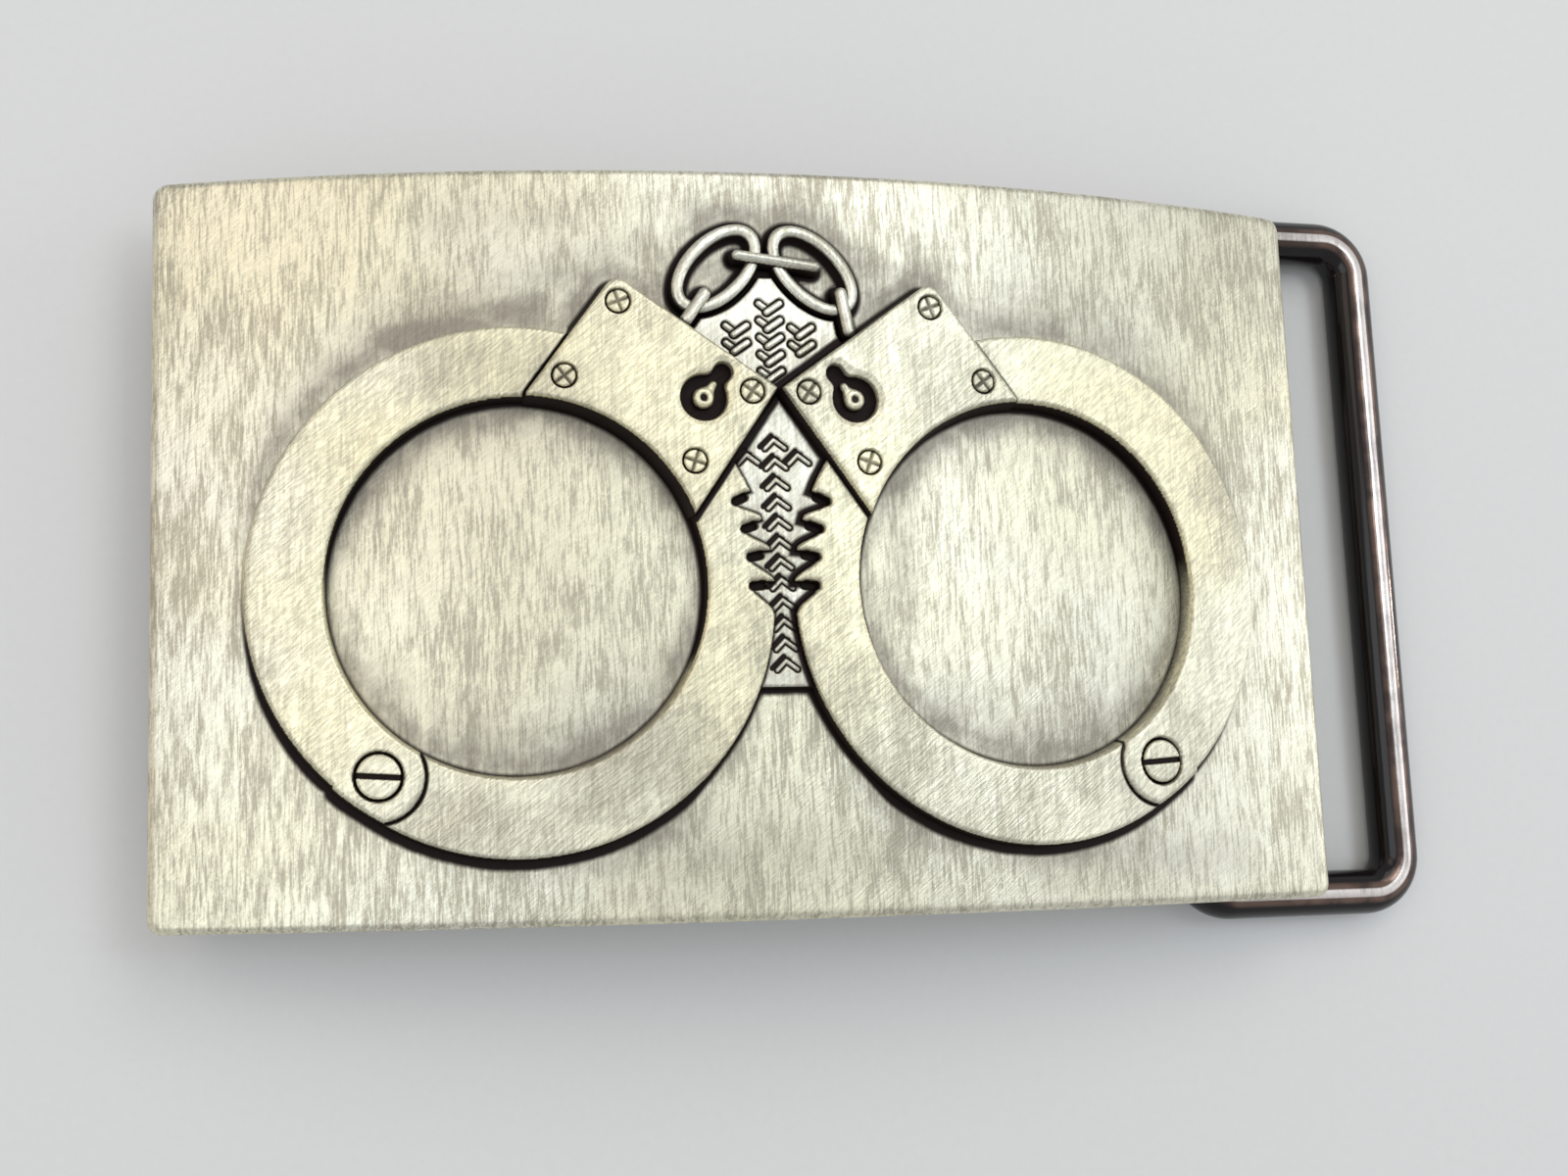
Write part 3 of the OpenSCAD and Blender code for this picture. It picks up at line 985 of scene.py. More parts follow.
@dataclass
class FacePlate(SubAssembly):
    """The bent plate with its rounded rim."""

    rim_r: float = 0.55
    back_r: float = 0.35
    step: float = 0.2
    rim_lines: tuple[float, ...] = (0.0, 0.04, 0.12, 0.25, 0.4, 0.55)
    wave: float = 0.02
    cuff_y: float = -3.3
    above_steps: tuple[float, ...] = (0.7, 1.4, 2.1, 2.8, 3.6, 4.6, 5.8, 7.0)
    dark_patches: tuple[tuple[Point, Point, float, float], ...] = (
        ((-25.5, 13.4), (-15.5, 15.7), 1.5, 1.0),
        ((-15.0, 17.3), (-8.5, 19.3), 3.2, 0.55),
        ((-5.0, 22.0), (4.5, 22.0), 1.8, 0.6),
        ((6.3, 19.0), (10.0, 17.3), 2.2, 0.65),
        ((16.0, 15.3), (27.0, 11.6), 1.6, 0.4),
        ((-22.0, 21.3), (-7.0, 22.0), 3.0, 0.35),
        ((-10.0, -20.6), (8.0, -20.6), 4.0, 0.45),
        ((18.0, -22.3), (33.0, -21.5), 2.6, 0.4),
        ((-23.0, 6.4), (-10.5, 5.6), 1.6, 0.35),
        ((9.8, 5.0), (21.0, 6.0), 1.8, 0.35),
        ((8.0, -5.0), (8.8, 3.0), 2.2, 0.5),
    )

    def shade(self, x: Grid, y: Grid, relief: Outline, openings: Sequence[Outline]) -> Grid:
        """How much darker the plate is painted: in bands just above the relief, as painted shade along
        the upper rim of each round opening, and in the listed patches.

        Args:
            x: distance along the plate.
            y: distance up the plate.
            relief: everything raised on it.
            openings: the round openings of the cuffs.

        Returns:
            0 where the plate keeps its own colour to 1 where it is painted darkest.
        """
        dimming = np.zeros(x.shape)
        for back in self.above_steps:
            dimming = np.maximum(dimming, smooth(-0.5, 0.6, relief(x, y - back)) * (1 - back / 8.5))
        dimming = dimming * (0.45 + 0.45 * smooth(-0.1, -1.2, relief(x, y)))
        # Painted shade inside each round opening: darkest along its upper rim, fading over 5 mm
        # towards its middle.
        for opening in openings:
            depth = opening(x, y)
            high = smooth(-4.0, 9.0, y - self.cuff_y)
            dimming = np.maximum(dimming, (1 - smooth(0.3, 5.0, depth)) * high * (depth > 0) * 0.7)
        # Darker patches at the listed places.
        for a, b, width, depth in self.dark_patches:
            dimming = np.maximum(dimming, depth * smooth(-width, width / 2, Outline.bar(a, b, width)(x, y)))
        return dimming

    def contact(
        self, x: Grid, y: Grid, relief: Outline, cuffs: Outline, openings: Sequence[Outline]
    ) -> Grid:
        """Distance to the relief: longer where a cuff's edge faces up, shorter below the cuffs for a
        wider painted shadow.

        Args:
            x: distance along the plate.
            y: distance up the plate.
            relief: everything raised on it.
            cuffs: the rings of the cuffs.
            openings: their round openings.

        Returns:
            A distance in millimetres.
        """
        depth = cuffs(x, y)
        climb = (cuffs(x, y + 0.3) - cuffs(x, y - 0.3)) / 0.6
        mine = smooth(-0.25, 0.0, depth - relief(x, y)) * off_panels(x)
        inside = np.zeros(x.shape)
        for opening in openings:
            inside = np.maximum(inside, opening.cover(x, y))
        # Painted shadow: the dark line is thinned where a cuff's edge faces up the plate and widened
        # below the cuffs, less inside the openings.
        lit_thinning = faces_light(climb) * (0.45 - 0.27 * inside)
        shadow_widening = smooth(-0.1, 0.95, climb) * 0.3 * (1 - inside)
        return np.clip(-relief(x, y), 0, FAR) + mine * (lit_thinning - shadow_widening)

    def build(
        self,
        relief: Outline,
        cuffs: Outline,
        openings: Sequence[Outline],
        material: bpy.types.Material,
    ) -> None:
        """Makes the plate.

        Args:
            relief: everything that is raised on it, whose edges it darkens near.
            cuffs: the rings of the cuffs.
            openings: the round openings of the cuffs.
            material: its finish.
        """
        f = self.face
        half_l, half_h = f.length / 2, f.height / 2
        corners = [(-half_l, -half_h), (half_l, -half_h), (half_l, half_h), (-half_l, half_h)]
        edge = Outline.polygon(rounded(corners, [f.corner_r] * 4))
        near_rim, start = np.array(self.rim_lines), 0.8

        def lines(half: float) -> Grid:
            """Grid lines that crowd at the rim."""
            count = round((2 * half - 2 * start) / self.step) + 1
            inner = np.linspace(-half + start, half - start, count)
            return np.concatenate([-half + near_rim, inner, half - near_rim[::-1]])

        x, y = np.meshgrid(lines(half_l), lines(half_h), indexing="ij")
        out = edge(x, y) < 0
        px, py = x[out], y[out]
        for _ in range(5):
            d, (gx, gy) = edge(px, py), edge.slope(px, py)
            px, py = px - d * gx, py - d * gy
        x[out], y[out] = px, py
        d = np.maximum(edge(x, y), 0)
        drop = np.maximum(self.rim_r - d, 0)
        top = -(self.rim_r - np.sqrt(np.maximum(self.rim_r**2 - drop**2, 0)))
        waves = np.sin(x * 0.21 + 1.3) * np.sin(y * 0.17 + 0.4)
        top = top + self.wave * waves * smooth(0.6, 6, d)
        rise = np.maximum(self.back_r - d, 0)
        back = -f.thick + (self.back_r - np.sqrt(np.maximum(self.back_r**2 - rise**2, 0)))
        near = self.contact(x, y, relief, cuffs, openings)
        shade = self.shade(x, y, relief, openings)
        rows, cols = x.shape
        front = f.lift(x.ravel(), y.ravel(), top.ravel())
        rear = f.lift(x.ravel(), y.ravel(), back.ravel())
        index = np.arange(rows * cols).reshape(rows, cols)
        up = MeshMaker.quads(index).reshape(-1, 4)
        down = up[:, ::-1] + rows * cols
        ring = np.concatenate([index[:, 0], index[-1, 1:], index[-2::-1, -1], index[0, -2:0:-1]])
        nxt = np.roll(ring, -1)
        wall = np.stack([ring, ring + rows * cols, nxt + rows * cols, nxt], -1)
        faces = np.concatenate([up, down, wall[:, ::-1]])
        rest = np.zeros(rows * cols)
        marks = {
            "near": np.concatenate([near.ravel(), rest + FAR]),
            "dark": np.concatenate([rest, rest + 0.2]),
            "shade": np.concatenate([shade.ravel(), rest + 0.5]),
        }
        made = MeshMaker.piece("plate_casting", np.concatenate([front, rear]), faces, marks)
        self.dress(MeshMaker.outward(made, 2e-6), "face_plate", "plate_brass", material)


@dataclass
class Cuff(SubAssembly):
    """One cuff: its fixed frame, its toothed arm and the pivot screw."""

    side: Side = Side.RIGHT
    plan: CuffPlan = CuffPlan()
    frame_t: float = 1.45
    arm_t: float = 1.2
    screw_r: float = 1.6
    screw_gap: float = 0.17
    slot_w: float = 0.34
    slot_turn: float = 4.0
    wall: float = 0.45
    seat_deep: float = 0.6
    slot_deep: float = 0.3
    head_out: float = 0.06

    def painted_light(self, x: Grid, y: Grid) -> Grid:
        """Share of the rim line lifted as painted light on rims facing up: less in the opening, none
        by the panels.
        """
        inside = self.plan.opening().on(self.side).cover(x, y)
        return (0.8 - 0.12 * inside) * off_panels(x)

    def build(self, material: bpy.types.Material) -> None:
        """Makes the cuff's pieces."""
        s, plan = self.side, self.plan
        seat = Outline.disc(plan.at(plan.pivot), self.screw_r).on(s)
        case = plan.case_outline().on(s)

        def height(x: Grid, y: Grid, inner: Grid) -> Grid:
            """Height of the frame, sunk round the pivot screw."""
            body = self.frame_t * swell(inner, self.wall, Section.SOFT_BLOCK)
            return body - self.seat_deep * groove(seat, x, y, 0.1)

        frame_piece = Relief(
            self.face,
            f"{s.word}_frame_casting",
            plan.frame().on(s),
            height,
            s.box((8, -22), (36, 15)),
            dark=lambda x, y: groove(seat, x, y, 0.1),
            beside=case,
            painted_light=self.painted_light,
        ).build()
        self.dress(frame_piece, f"{s.word}_cuff_frame", "relief_brass", material)

        arm_piece = Relief(
            self.face,
            f"{s.word}_arm_casting",
            plan.arm().on(s),
            lambda x, y, inner: self.arm_t * swell(inner, self.wall * 0.8, Section.SOFT_BLOCK),
            s.box((0, -22), (28, 6)),
            0.075,
            beside=case.grown(0.25 if s is Side.LEFT else 0.0) | plan.frame().on(s),
            painted_light=self.painted_light,
        ).build()
        self.dress(arm_piece, f"{s.word}_cuff_arm", "relief_brass", material)
        self._screw(material)

    def _screw(self, material: bpy.types.Material) -> None:
        """Makes the slotted screw in the pivot."""
        s, plan = self.side, self.plan
        cx, cy = plan.at(plan.pivot)
        cx *= s.value
        turn = self.slot_turn * s.value
        dx, dy = polar(3 * self.screw_r, turn)
        slot = Outline.bar((cx - dx, cy - dy), (cx + dx, cy + dy), self.slot_w)
        head = self.screw_r - self.screw_gap

        def height(x: Grid, y: Grid, inner: Grid) -> Grid:
            """Height of the screw's head with its slot."""
            top = self.frame_t + self.head_out
            body = top * swell(inner, 0.3, Section.SOFT_BLOCK, 0.8)
            return body - self.slot_deep * groove(slot, x, y, 0.08)

        made = Relief(
            self.face,
            f"{s.word}_pivot_slotted_head",
            Outline.disc((cx, cy), head),
            height,
            (cx - 2, cy - 2, cx + 2, cy + 2),
            0.045,
            lambda x, y: groove(slot, x, y, 0.08),
        ).build()
        self.dress(made, f"{s.word}_pivot_screw", "relief_brass", material)


@dataclass
class LockCase(SubAssembly):
    """One lock case with its keyhole, pin and small screws."""

    side: Side = Side.RIGHT
    plan: CuffPlan = CuffPlan()
    case_t: float = 2.0
    screw_r: float = 0.85
    ring_w: float = 0.1
    cross_w: float = 0.21
    cross_turn: float = 20.0
    pin_r: float = 0.72
    dimple_r: float = 0.26
    wall: float = 0.4
    keyhole_deep: float = 0.8
    seat_deep: float = 0.5
    cross_deep: float = 0.15
    dimple_deep: float = 0.16

    def build(self, material: bpy.types.Material) -> None:
        """Makes the lock case's pieces."""
        s, plan = self.side, self.plan
        keyhole = plan.keyhole_outline().on(s)
        seats = Outline.none()
        for at in plan.screws:
            seats |= Outline.disc(plan.at(at), self.screw_r)
        seats = seats.on(s)

        def height(x: Grid, y: Grid, inner: Grid) -> Grid:
            """Height of the case, sunk at its keyhole and its screw seats."""
            body = self.case_t * swell(inner, self.wall, Section.SOFT_BLOCK, 0.72)
            dished = keyhole.cover(x, y) * 0.12
            body = body - dished - self.keyhole_deep * groove(keyhole, x, y, 0.14)
            return body - self.seat_deep * groove(seats, x, y, 0.1)

        def dark(x: Grid, y: Grid) -> Grid:
            """Tarnish in the keyhole and the screw seats."""
            return np.maximum(groove(keyhole, x, y, 0.12), 0.75 * groove(seats, x, y, 0.08))

        made = Relief(
            self.face,
            f"{s.word}_case_casting",
            plan.case_outline().on(s),
            height,
            s.box(plan.at((-17.6, 4.0)), plan.at((-0.2, 20.7))),
            0.065,
            dark,
            draft=0.32,
        ).build()
        self.dress(made, f"{s.word}_lock_case", "relief_brass", material)
        self._screws(material)
        self._pin(material)

    def _screws(self, material: bpy.types.Material) -> None:
        """Makes the small cross-headed screws as one piece of separate heads."""
        s, plan = self.side, self.plan
        heads, crosses, ends = Outline.none(), Outline.none(), []
        for i, at in enumerate(plan.screws):
            cx, cy = plan.at(at)
            cx *= s.value
            heads |= Outline.disc((cx, cy), self.screw_r - self.ring_w)
            for turn in (0, 90):
                dx, dy = polar(0.9 * self.screw_r, self.cross_turn + turn + 17 * i)
                crosses |= Outline.bar((cx - dx, cy - dy), (cx + dx, cy + dy), self.cross_w)
            ends.append((cx, cy))
        xs, ys = [p[0] for p in ends], [p[1] for p in ends]
        box = (min(xs) - 1, min(ys) - 1, max(xs) + 1, max(ys) + 1)

        def height(x: Grid, y: Grid, inner: Grid) -> Grid:
            """Height of the screw heads with their crosses."""
            body = (self.case_t - 0.02) * swell(inner, 0.2, Section.SOFT_BLOCK, 0.88)
            return body - self.cross_deep * groove(crosses, x, y, 0.09)

        made = Relief(
            self.face,
            f"{s.word}_case_screw_heads",
            heads,
            height,
            box,
            0.045,
            lambda x, y: 0.5 * groove(crosses, x, y, 0.1),
        ).build()
        self.dress(made, f"{s.word}_case_screws", "plate_brass", material)

    def _pin(self, material: bpy.types.Material) -> None:
        """Makes the pin that stands in the keyhole, with its dimple and its lip."""
        s, plan = self.side, self.plan
        (cx, cy), (tx, ty) = plan.at(plan.keyhole), plan.at(plan.keyslot)
        tip = (cx + 0.55 * (tx - cx), cy + 0.55 * (ty - cy))
        post = Outline.disc((cx, cy), self.pin_r).melted(Outline.disc(tip, 0.2), 0.9).on(s)
        dimple = Outline.disc((cx, cy), self.dimple_r).on(s)
        cx *= s.value

        def height(x: Grid, y: Grid, inner: Grid) -> Grid:
            """Height of the pin with its dimple."""
            body = (self.case_t - 0.2) * swell(inner, 0.34, Section.HALF_ROUND, 0.75)
            return body - self.dimple_deep * groove(dimple, x, y, 0.16)

        made = Relief(
            self.face,
            f"{s.word}_keyhole_post",
            post,
            height,
            (cx - 1.6, cy - 1.6, cx + 1.6, cy + 1.6),
            0.04,
            lambda x, y: 0.62 * groove(dimple, x, y, 0.1),
        ).build()
        self.dress(made, f"{s.word}_keyhole_pin", "relief_brass", material)


@dataclass
class Panels(SubAssembly):
    """The ratchet panel with its chevrons and the chain panel with its plaited stitches."""

    plan: CuffPlan = CuffPlan()
    chain: ChainPlan = ChainPlan()
    panel_t: float = 0.7
    peak: float = 9.3
    side_at: tuple[float, float, float] = (3.9, 4.3, -5.5)
    foot_at: Point = (2.4, -10.1)
    chevron_top: float = 6.5
    chevron_step: float = 1.33
    chevrons: int = 12
    ribbon: tuple[Stroke, ...] = (
        ((-0.6, -0.86), (0.0, -0.26), 0.25),
        ((0.0, -0.26), (0.76, -0.82), 0.25),
    )
    ribbon_shade: tuple[Stroke, ...] = (
        ((-0.94, -0.74), (-0.14, 0.02), 0.32),
        ((-0.14, 0.02), (0.3, -0.2), 0.16),
    )
    stitch: tuple[Stroke, ...] = (
        ((-0.72, 0.26), (-0.22, -0.12), 0.36),
        ((-0.18, -0.34), (0.72, 0.28), 0.4),
    )
    stitch_step: float = 1.16

    def ratchet_outline(self) -> Outline:
        """The ratchet panel between the two arms."""
        sx, upper, lower = self.side_at
        fx, fy = self.foot_at
        panel = Outline.polygon(
            [(0, self.peak), (sx, upper), (sx, lower), (fx, fy), (-fx, fy), (-sx, lower), (-sx, upper)]
        )
        for s in Side:
            panel = panel - self.plan.arm().on(s) - self.plan.case_outline().on(s)
            panel = panel - self.plan.opening().grown(0.5).on(s)
        return panel

    def chain_outline(self) -> Outline:
        """The chain panel under the links."""
        right = [(4.9, 12.0), (4.9, 14.5), (3.9, 15.1), (2.35, 16.2), (1.45, 17.3)]
        left = [(2 * self.chain.middle_x - x, y) for x, y in reversed(right)]
        panel = Outline.polygon([(0.0, self.peak), *right, *left])
        for s in Side:
            panel = panel - self.plan.case_outline().on(s)
            panel = panel - self.chain.link_oval(s, 0.35)
            panel = panel - self.chain.swivel(s).grown(0.3)
        return panel

    def chevron_places(self) -> list[Point]:
        """The peaks of the chevrons: one column, and two beside the second one."""
        column = [
            (-0.3 + 0.025 * i, self.chevron_top - self.chevron_step * i)
            for i in range(self.chevrons)
        ]
        return [*column, (-2.15, 5.5), (1.3, 5.5)]

    def build(self, material: bpy.types.Material) -> None:
        """Makes the two panels."""
        self._ratchet(material)
        self._woven(material)

    def _ratchet(self, material: bpy.types.Material) -> None:
        """Makes the ratchet panel with its chain of bent ribbons."""
        ribbons, ribbon_shadow, gullets, beside = (Outline.none() for _ in range(4))
        for place in self.chevron_places():
            ribbons |= Outline.strokes(self.ribbon, place)
            # Painted shadow: a wider dark cut along the upper left of each ribbon.
            ribbon_shadow |= Outline.strokes(self.ribbon_shade, place)
        for s in Side:
            gullets |= self.plan.gullets().on(s)
            arm_gap, case_gap = (0.05, 0.05) if s is Side.RIGHT else (-0.2, 0.3)
            beside |= self.plan.arm().on(s).grown(arm_gap)
            beside |= self.plan.case_outline().on(s).grown(case_gap)
        lines = (ribbons.grown(0.12) | ribbon_shadow) - ribbons

        def dark(x: Grid, y: Grid) -> Grid:
            """Patina in the cuts beside the ribbons, with a wider cut along the upper left of each as
            painted shadow, and patina in the gullets.
            """
            cut_and_shadow = groove(lines, x, y, 0.09) * 0.9
            return np.maximum(cut_and_shadow, groove(gullets, x, y, 0.12))

        def height(x: Grid, y: Grid, inner: Grid) -> Grid:
            """Height of the ratchet panel, cut round its ribbons."""
            body = self.panel_t * swell(inner, 0.25, Section.SOFT_BLOCK, 0.75)
            return body - 0.16 * groove(lines, x, y, 0.12) - 0.4 * groove(gullets, x, y, 0.16)

        made = Relief(
            self.face,
            "ratchet_panel_casting",
            self.ratchet_outline(),
            height,
            (-4.2, -10.6, 4.2, 9.8),
            0.05,
            dark,
            beside,
        ).build()
        self.dress(made, "ratchet_panel", "plate_brass", material)

    def _woven(self, material: bpy.types.Material) -> None:
        """Makes the chain panel with its plaited stitches."""
        stitches, beside = Outline.none(), self.chain.middle_link()
        middle = self.chain.middle_x + 0.2
        for column, top, rows in ((0.0, 15.25, 5), (-2.3, 13.7, 2), (2.15, 13.65, 2)):
            for i in range(rows):
                for mark in self.stitch:
                    place = (middle + column, top - self.stitch_step * i)
                    thread = Outline.strokes([mark], place)
                    stitches = (stitches - thread.grown(0.1)) | thread
        for s in Side:
            case_gap = 0.25 if s is Side.RIGHT else -0.2
            beside |= self.plan.case_outline().on(s).grown(case_gap)
        lines = stitches.grown(0.14) - stitches

        def height(x: Grid, y: Grid, inner: Grid) -> Grid:
            """Height of the chain panel, with its stitches proud."""
            body = self.panel_t * swell(inner, 0.3, Section.SOFT_BLOCK, 0.7)
            return body - 0.2 * groove(lines, x, y, 0.12) + 0.1 * groove(stitches, x, y, 0.3)

        made = Relief(
            self.face,
            "chain_panel_casting",
            self.chain_outline(),
            height,
            (-7, 9, 6, 18),
            0.05,
            lambda x, y: groove(lines, x, y, 0.09) * 0.85,
            beside,
        ).build()
        self.dress(made, "chain_panel", "plate_brass", material)


@dataclass
class Chain(SubAssembly):
    """The chain between the cuffs: two outer links, the middle link and two swivels."""

    plan: ChainPlan = ChainPlan()
    link_t: float = 0.9
    bar_t: float = 0.5

    def _round_piece(
        self, name: str, node: str, shape: Outline, top: float, material: bpy.types.Material
    ) -> None:
        """Makes one piece with a rounded top.

        Args:
            name: the piece's name.
            node: the solid it stands for.
            shape: its outline.
            top: height of its ridge.
            material: its finish.
        """
        made = Relief(
            self.face,
            name,
            shape,
            lambda x, y, inner: top * swell(inner, 0.4, Section.HALF_ROUND, 0.68),
            (-8.5, 12, 7.5, 22.5),
            0.045,
        ).build()
        self.dress(made, node, "plate_brass", material)

    def build(self, material: bpy.types.Material) -> None:
        """Makes the chain's pieces."""
        plan, full = self.plan, self.link_t + self.bar_t
        for s in Side:
            word = s.word
            self._round_piece(
                f"{word}_link_casting", f"{word}_chain_link", plan.link(s), self.link_t, material
            )
            self._round_piece(
                f"{word}_swivel_casting", f"{word}_swivel", plan.swivel(s), full, material
            )
        self._round_piece(
            "middle_link_casting", "middle_chain_link", plan.middle_link(), full, material
        )


@dataclass
class BackFittings(SubAssembly):
    """The two hinge lugs and the belt peg on the plate's back."""

    lug_w: float = 4.4
    bore_r: float = 1.71
    lug_at: float = 19.85
    peg_in: float = 10.0
    peg_r: float = 2.0
    pad_r: float = 3.4
    pad_t: float = 0.6
    soft: float = 0.3
    mouth: float = 0.12
    rise: float = 0.55
    nose: tuple[Point, ...] = (
        (0.05, 0.0),
        (0.7, 0.02),
        (1.15, 0.14),
        (1.5, 0.38),
        (1.78, 0.7),
        (1.94, 1.05),
    )

    def _lug_reach(self, angle: float, top: float) -> float:
        """Distance from the bore's centre to the lug's outside at an angle."""
        r, c, s = self.face.lug_r, math.cos(angle), math.sin(angle)
        if s <= 0:
            return r
        to_side = r / max(abs(c), 1e-6)
        return min(to_side, top / max(s, 1e-6))

    def lug(self, upper: bool, material: bpy.types.Material) -> None:
        """Makes one lug with its bore."""
        f, count = self.face, 64
        top = f.hinge_drop + self.rise
        angles = [math.tau * k / count for k in range(count)]
        angles += [math.atan2(top, f.lug_r), math.atan2(top, -f.lug_r)]
        angles.sort()
        rings: list[list[tuple[float, float, float]]] = []
        half, soft = self.lug_w / 2, self.soft
        skin = [(half, soft), (half - soft * 0.3, soft * 0.3), (half - soft, 0.0)]
        skin += [(-across, inset) for across, inset in reversed(skin)]

        def ring(across: float, reach: Callable[[float], float]) -> None:
            """Adds a closed loop at a place across the lug."""
            rings.append([(reach(a) * math.cos(a), across, reach(a) * math.sin(a)) for a in angles])

        ring(half, lambda a: self.bore_r + self.mouth)
        for across, inset in skin:
            ring(across, lambda a: self._lug_reach(a, top) - inset)
        ring(-half, lambda a: self.bore_r + self.mouth)
        for across in (-half + self.mouth, half - self.mouth):
            ring(across, lambda a: self.bore_r)
        loops = np.array(rings)
        y = self.lug_at if upper else -self.lug_at
        loops += np.array([f.hinge_x - f.middle, y, f.lug_r])
        word = "upper" if upper else "lower"
        low = np.clip((loops[..., 2] - f.lug_r) / top, 0, 1).ravel()
        made = MeshMaker.rings(f"{word}_lug_casting", loops * MM, True, False, {"dark": low})
        made.data.set_sharp_from_angle(angle=math.radians(50))
        self.dress(made, f"{word}_bail_lug", "back_brass", material)

    def peg(self, material: bpy.types.Material) -> None:
        """Makes the belt peg on its pad."""
        f, count = self.face, 64
        x0 = -f.length / 2 + self.peg_in
        pad_z = f.back_z(x0 - self.pad_r) - self.pad_t
        loops = [*self.nose, (self.peg_r, 1.5), (self.peg_r, pad_z - 0.5)]
        loops += [(self.peg_r + 0.03, pad_z - 0.2)]
        loops += [(self.peg_r + 0.12, pad_z - 0.06), (self.peg_r + 0.32, pad_z)]
        loops += [(self.pad_r - 0.2, pad_z), (self.pad_r - 0.06, pad_z + 0.06)]
        loops += [(self.pad_r, pad_z + 0.2), (self.pad_r, pad_z + 1.0)]
        a = np.linspace(0, math.tau, count, endpoint=False)
        rows, low = [], []
        for r, z in loops:
            x = np.full(count, x0 - f.middle) + r * np.cos(a)
            rows.append(np.stack([x, r * np.sin(a), np.full(count, z)], -1))
            low.append(np.full(count, 0.75 if abs(z - pad_z) < 0.3 else 0.15))
        made = MeshMaker.rings(
            "peg_casting", np.array(rows) * MM, False, True, {"dark": np.concatenate(low)}
        )
        self.dress(made, "belt_peg", "back_brass", material)

    def build(self, material: bpy.types.Material) -> None:
        """Makes the lugs and the peg."""
        self.lug(True, material)
        self.lug(False, material)
        self.peg(material)


@dataclass
class Bail(SubAssembly):
    """The swinging wire bail that holds the belt."""

    body: str = "bail"
    belt_w: float = 44.5
    bend_r: float = 2.8
    tail: float = 9.6
    tip: tuple[Point, ...] = ((0.0, 0.55), (0.06, 0.8), (0.2, 0.95), (0.5, 1.0))
    round: int = 40
    bend_steps: int = 12
    tail_steps: int = 8
    bar_steps: int = 30

    def centreline(self) -> list[tuple[Point, Point]]:
        """Points of the wire's middle with the direction across it, from tail to tail."""
        f, arm = self.face, self.belt_w / 2 + self.bend_r
        b, steps, found = self.bend_r, self.bend_steps, []

        def bend(cx: float, start: float) -> None:
            """Adds a quarter turn about cx, clockwise from an angle."""
            for k in range(1, steps + 1):
                x, y = polar(1, start - 90 * k / steps)
                found.append(((cx + b * x, arm - b + b * y), (x, y)))

        for k in range(self.tail_steps + 1):
            y = arm - self.tail + (self.tail - b) * k / self.tail_steps
            found.append(((0.0, y), (-1.0, 0.0)))
        bend(b, 180)
        for k in range(1, steps + 1):
            found.append(((b + (f.reach - 2 * b) * k / steps, arm), (0.0, 1.0)))
        bend(f.reach - b, 90)
        half = list(found)
        for k in range(1, self.bar_steps):
            y = self.belt_w / 2 - self.belt_w * k / self.bar_steps
            found.append(((f.reach, y), (1.0, 0.0)))
        return found + [((x, -y), (nx, -ny)) for (x, y), (nx, ny) in reversed(half)]

    def build(self, material: bpy.types.Material) -> None:
        """Makes the bail."""
        f = self.face
        line = self.centreline()
        first, last = line[0], line[-1]
        rows: list[Grid] = []
        ridge: list[Grid] = []
        a = np.linspace(0, math.tau, self.round, endpoint=False)
        stations = [((first[0][0], first[0][1] + d), first[1], s) for d, s in self.tip]
        stations += [(p, n, 1.0) for p, n in line[1:-1]]
        stations += [((last[0][0], last[0][1] - d), last[1], s) for d, s in reversed(self.tip)]
        for (x, y), (nx, ny), share in stations:
            r = f.wire_r * share
            across, up = r * np.cos(a), r * np.sin(a)
            rows.append(np.stack([x + nx * across, y + ny * across, up], -1))
            # How near each point is to the top of the wire, where the finish paints its highlight and
            # brownish sheen.
            ridge.append(np.clip(np.sin(a), 0, 1))
        loops = np.array(rows)
        turn = np.array(Matrix.Rotation(f.slope, 3, "Y"))
        loops = loops @ turn.T + np.array([f.hinge_x - f.middle, 0, f.lug_r])
        made = MeshMaker.rings(
            "bail_wire", loops * MM, False, True, {"ridge": np.concatenate(ridge)}
        )
        self.dress(made, "bail", "dark_nickel", material)


@dataclass(frozen=True)
class Lamp:
    """A square soft light: where it hangs and its side in metres, its power and its colour."""

    name: str
    at: tuple[float, float, float]
    size: float
    watts: float
    colour: tuple[float, float, float]

    def hang(self) -> None:
        """Hangs the light so that it points at the buckle."""
        light = bpy.data.lights.new(self.name, "AREA")
        light.shape, light.size, light.energy = "SQUARE", self.size, self.watts
        light.color = self.colour
        made = bpy.data.objects.new(self.name, light)
        made.location = self.at
        made.rotation_euler = (-Vector(self.at)).to_track_quat("-Z", "Y").to_euler()
        bpy.context.scene.collection.objects.link(made)


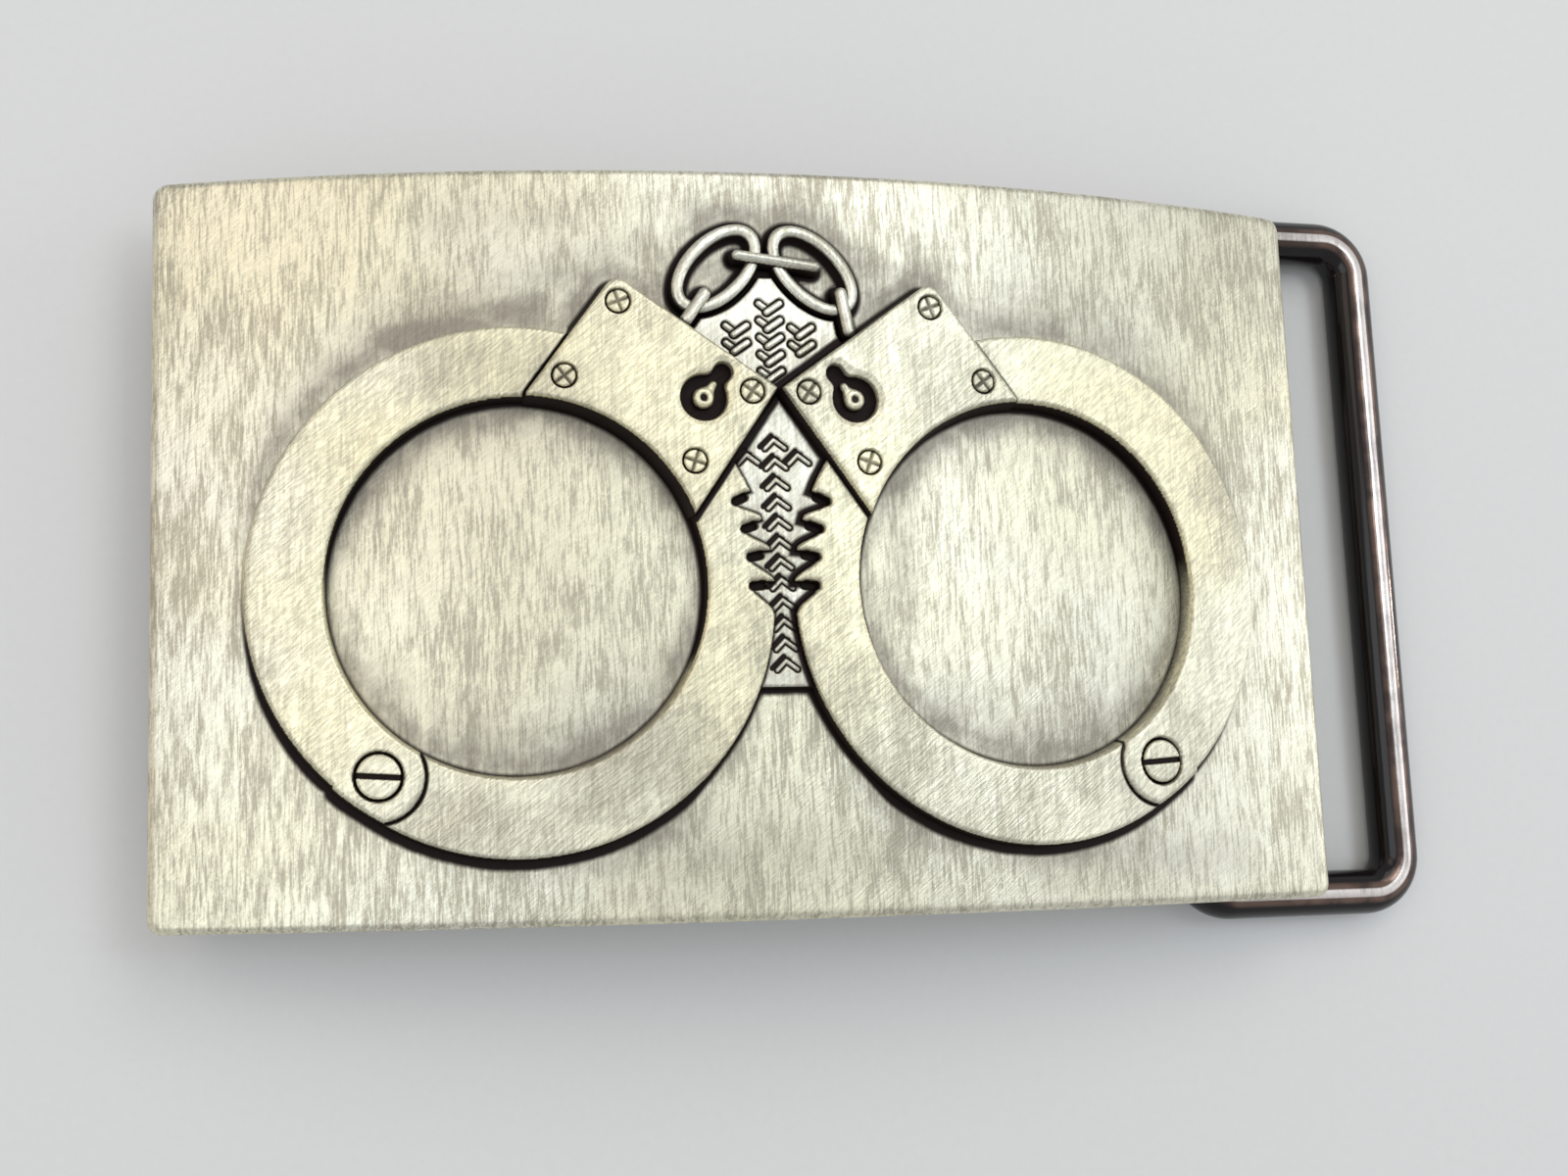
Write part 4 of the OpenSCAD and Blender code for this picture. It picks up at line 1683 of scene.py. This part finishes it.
@dataclass
class Studio:
    """Floor, lights and camera."""

    floor_size: float = 3.0
    lamps: tuple[Lamp, ...] = (
        Lamp("key_softbox", (0.12, 0.30, 0.42), 0.30, 0.48, (1.0, 0.98, 0.95)),
        Lamp("top_softbox", (0.19, 0.09, 0.46), 0.16, 0.32, (0.84, 0.93, 1.0)),
        Lamp("side_softbox", (0.45, 0.02, 0.22), 0.25, 0.2, (0.93, 0.96, 1.0)),
        Lamp("left_softbox", (-0.24, -0.04, 0.44), 0.26, 0.38, (0.90, 0.95, 1.0)),
        Lamp("warm_fill", (-0.25, 0.20, 0.38), 0.2, 0.18, (1.0, 0.80, 0.60)),
        Lamp("amber_rim", (-0.50, 0.06, 0.09), 0.08, 0.07, (1.0, 0.56, 0.32)),
        Lamp("kicker", (0.50, 0.04, 0.11), 0.03, 0.15, (1.0, 0.99, 0.97)),
    )
    sky_colour: Colour = (0.95, 0.97, 1.0, 1)
    sky_strength: float = 0.56
    lens: float = 38.48
    shift: tuple[float, float] = (0.1269, 0.0103)
    eye: tuple[float, float, float] = (-0.03426, -0.01815, 0.11905)
    ahead: tuple[float, float, float] = (0.1483, 0.1262, -0.9809)
    up: tuple[float, float, float] = (0.0053, 0.9917, 0.1284)

    def floor(self) -> None:
        """Makes the floor."""
        half = self.floor_size / 2
        points = np.array([(-half, -half, 0), (half, -half, 0), (half, half, 0), (-half, half, 0)])
        made = MeshMaker.piece("studio_floor", points, [[0, 1, 2, 3]])
        made.data.materials.append(PaleFloor("pale_floor").material())

    def sky(self) -> None:
        """Sets an even pale surround."""
        world = bpy.data.worlds.new("soft_surround")
        world.use_nodes = True
        back = world.node_tree.nodes["Background"]
        back.inputs["Color"].default_value = self.sky_colour
        back.inputs["Strength"].default_value = self.sky_strength
        bpy.context.scene.world = world

    def camera(self) -> None:
        """Stands the camera."""
        data = bpy.data.cameras.new("bench_camera")
        data.sensor_width, data.lens = 36.0, self.lens
        data.shift_x, data.shift_y = self.shift
        data.clip_start, data.clip_end = 0.005, 20.0
        made = bpy.data.objects.new("bench_camera", data)
        bpy.context.scene.collection.objects.link(made)
        back, up = -Vector(self.ahead).normalized(), Vector(self.up)
        right = up.cross(back).normalized()
        up = back.cross(right)
        turn = Matrix((right, up, back)).transposed().to_4x4()
        made.matrix_world = Matrix.Translation(self.eye) @ turn
        bpy.context.scene.camera = made

    def build(self) -> None:
        """Sets up the whole studio."""
        self.floor()
        self.sky()
        for lamp in self.lamps:
            lamp.hang()
        self.camera()
        bpy.context.scene.view_settings.view_transform = "Standard"


def main() -> None:
    """Builds the buckle piece by piece, then the studio."""
    logging.basicConfig(level=logging.INFO, format="%(name)s: %(message)s")
    face, cuff, chain = Face(), CuffPlan(), ChainPlan()
    plate_brass = AntiqueBrass("brushed_plate_brass", brush=0.85, relief_mm=0.055).material()
    gold = (0.87, 0.82, 0.58, 1)
    relief_brass = AntiqueBrass(
        "worn_relief_brass", bright=gold, scratch=1.0, brush=0.35, contact=0.3
    ).material()
    white = (0.80, 0.79, 0.69, 1)
    fine_brass = AntiqueBrass(
        "fine_relief_brass", bright=white, scratch=0.6, brush=0.3, contact=0.5, rough=0.3
    ).material()
    panels = Panels(face)
    relief = chain.middle_link() | panels.ratchet_outline() | panels.chain_outline()
    rings = Outline.none()
    for side in Side:
        rings |= (cuff.frame() | cuff.arm()).on(side)
        relief |= (cuff.case_outline() | cuff.gullets()).on(side)
        relief |= chain.link(side) | chain.swivel(side)
    relief |= rings
    openings = [cuff.opening().on(side) for side in Side]
    FacePlate(face).build(relief, rings, openings, plate_brass)
    for side in Side:
        Cuff(face, side=side).build(relief_brass)
        LockCase(face, side=side).build(relief_brass)
    panels.build(fine_brass)
    Chain(face).build(fine_brass)
    BackFittings(face).build(CastBrass("cast_back_brass").material())
    Bail(face).build(DarkNickel("dark_nickel_wire").material())
    Studio().build()


if __name__ == "__main__":
    main()
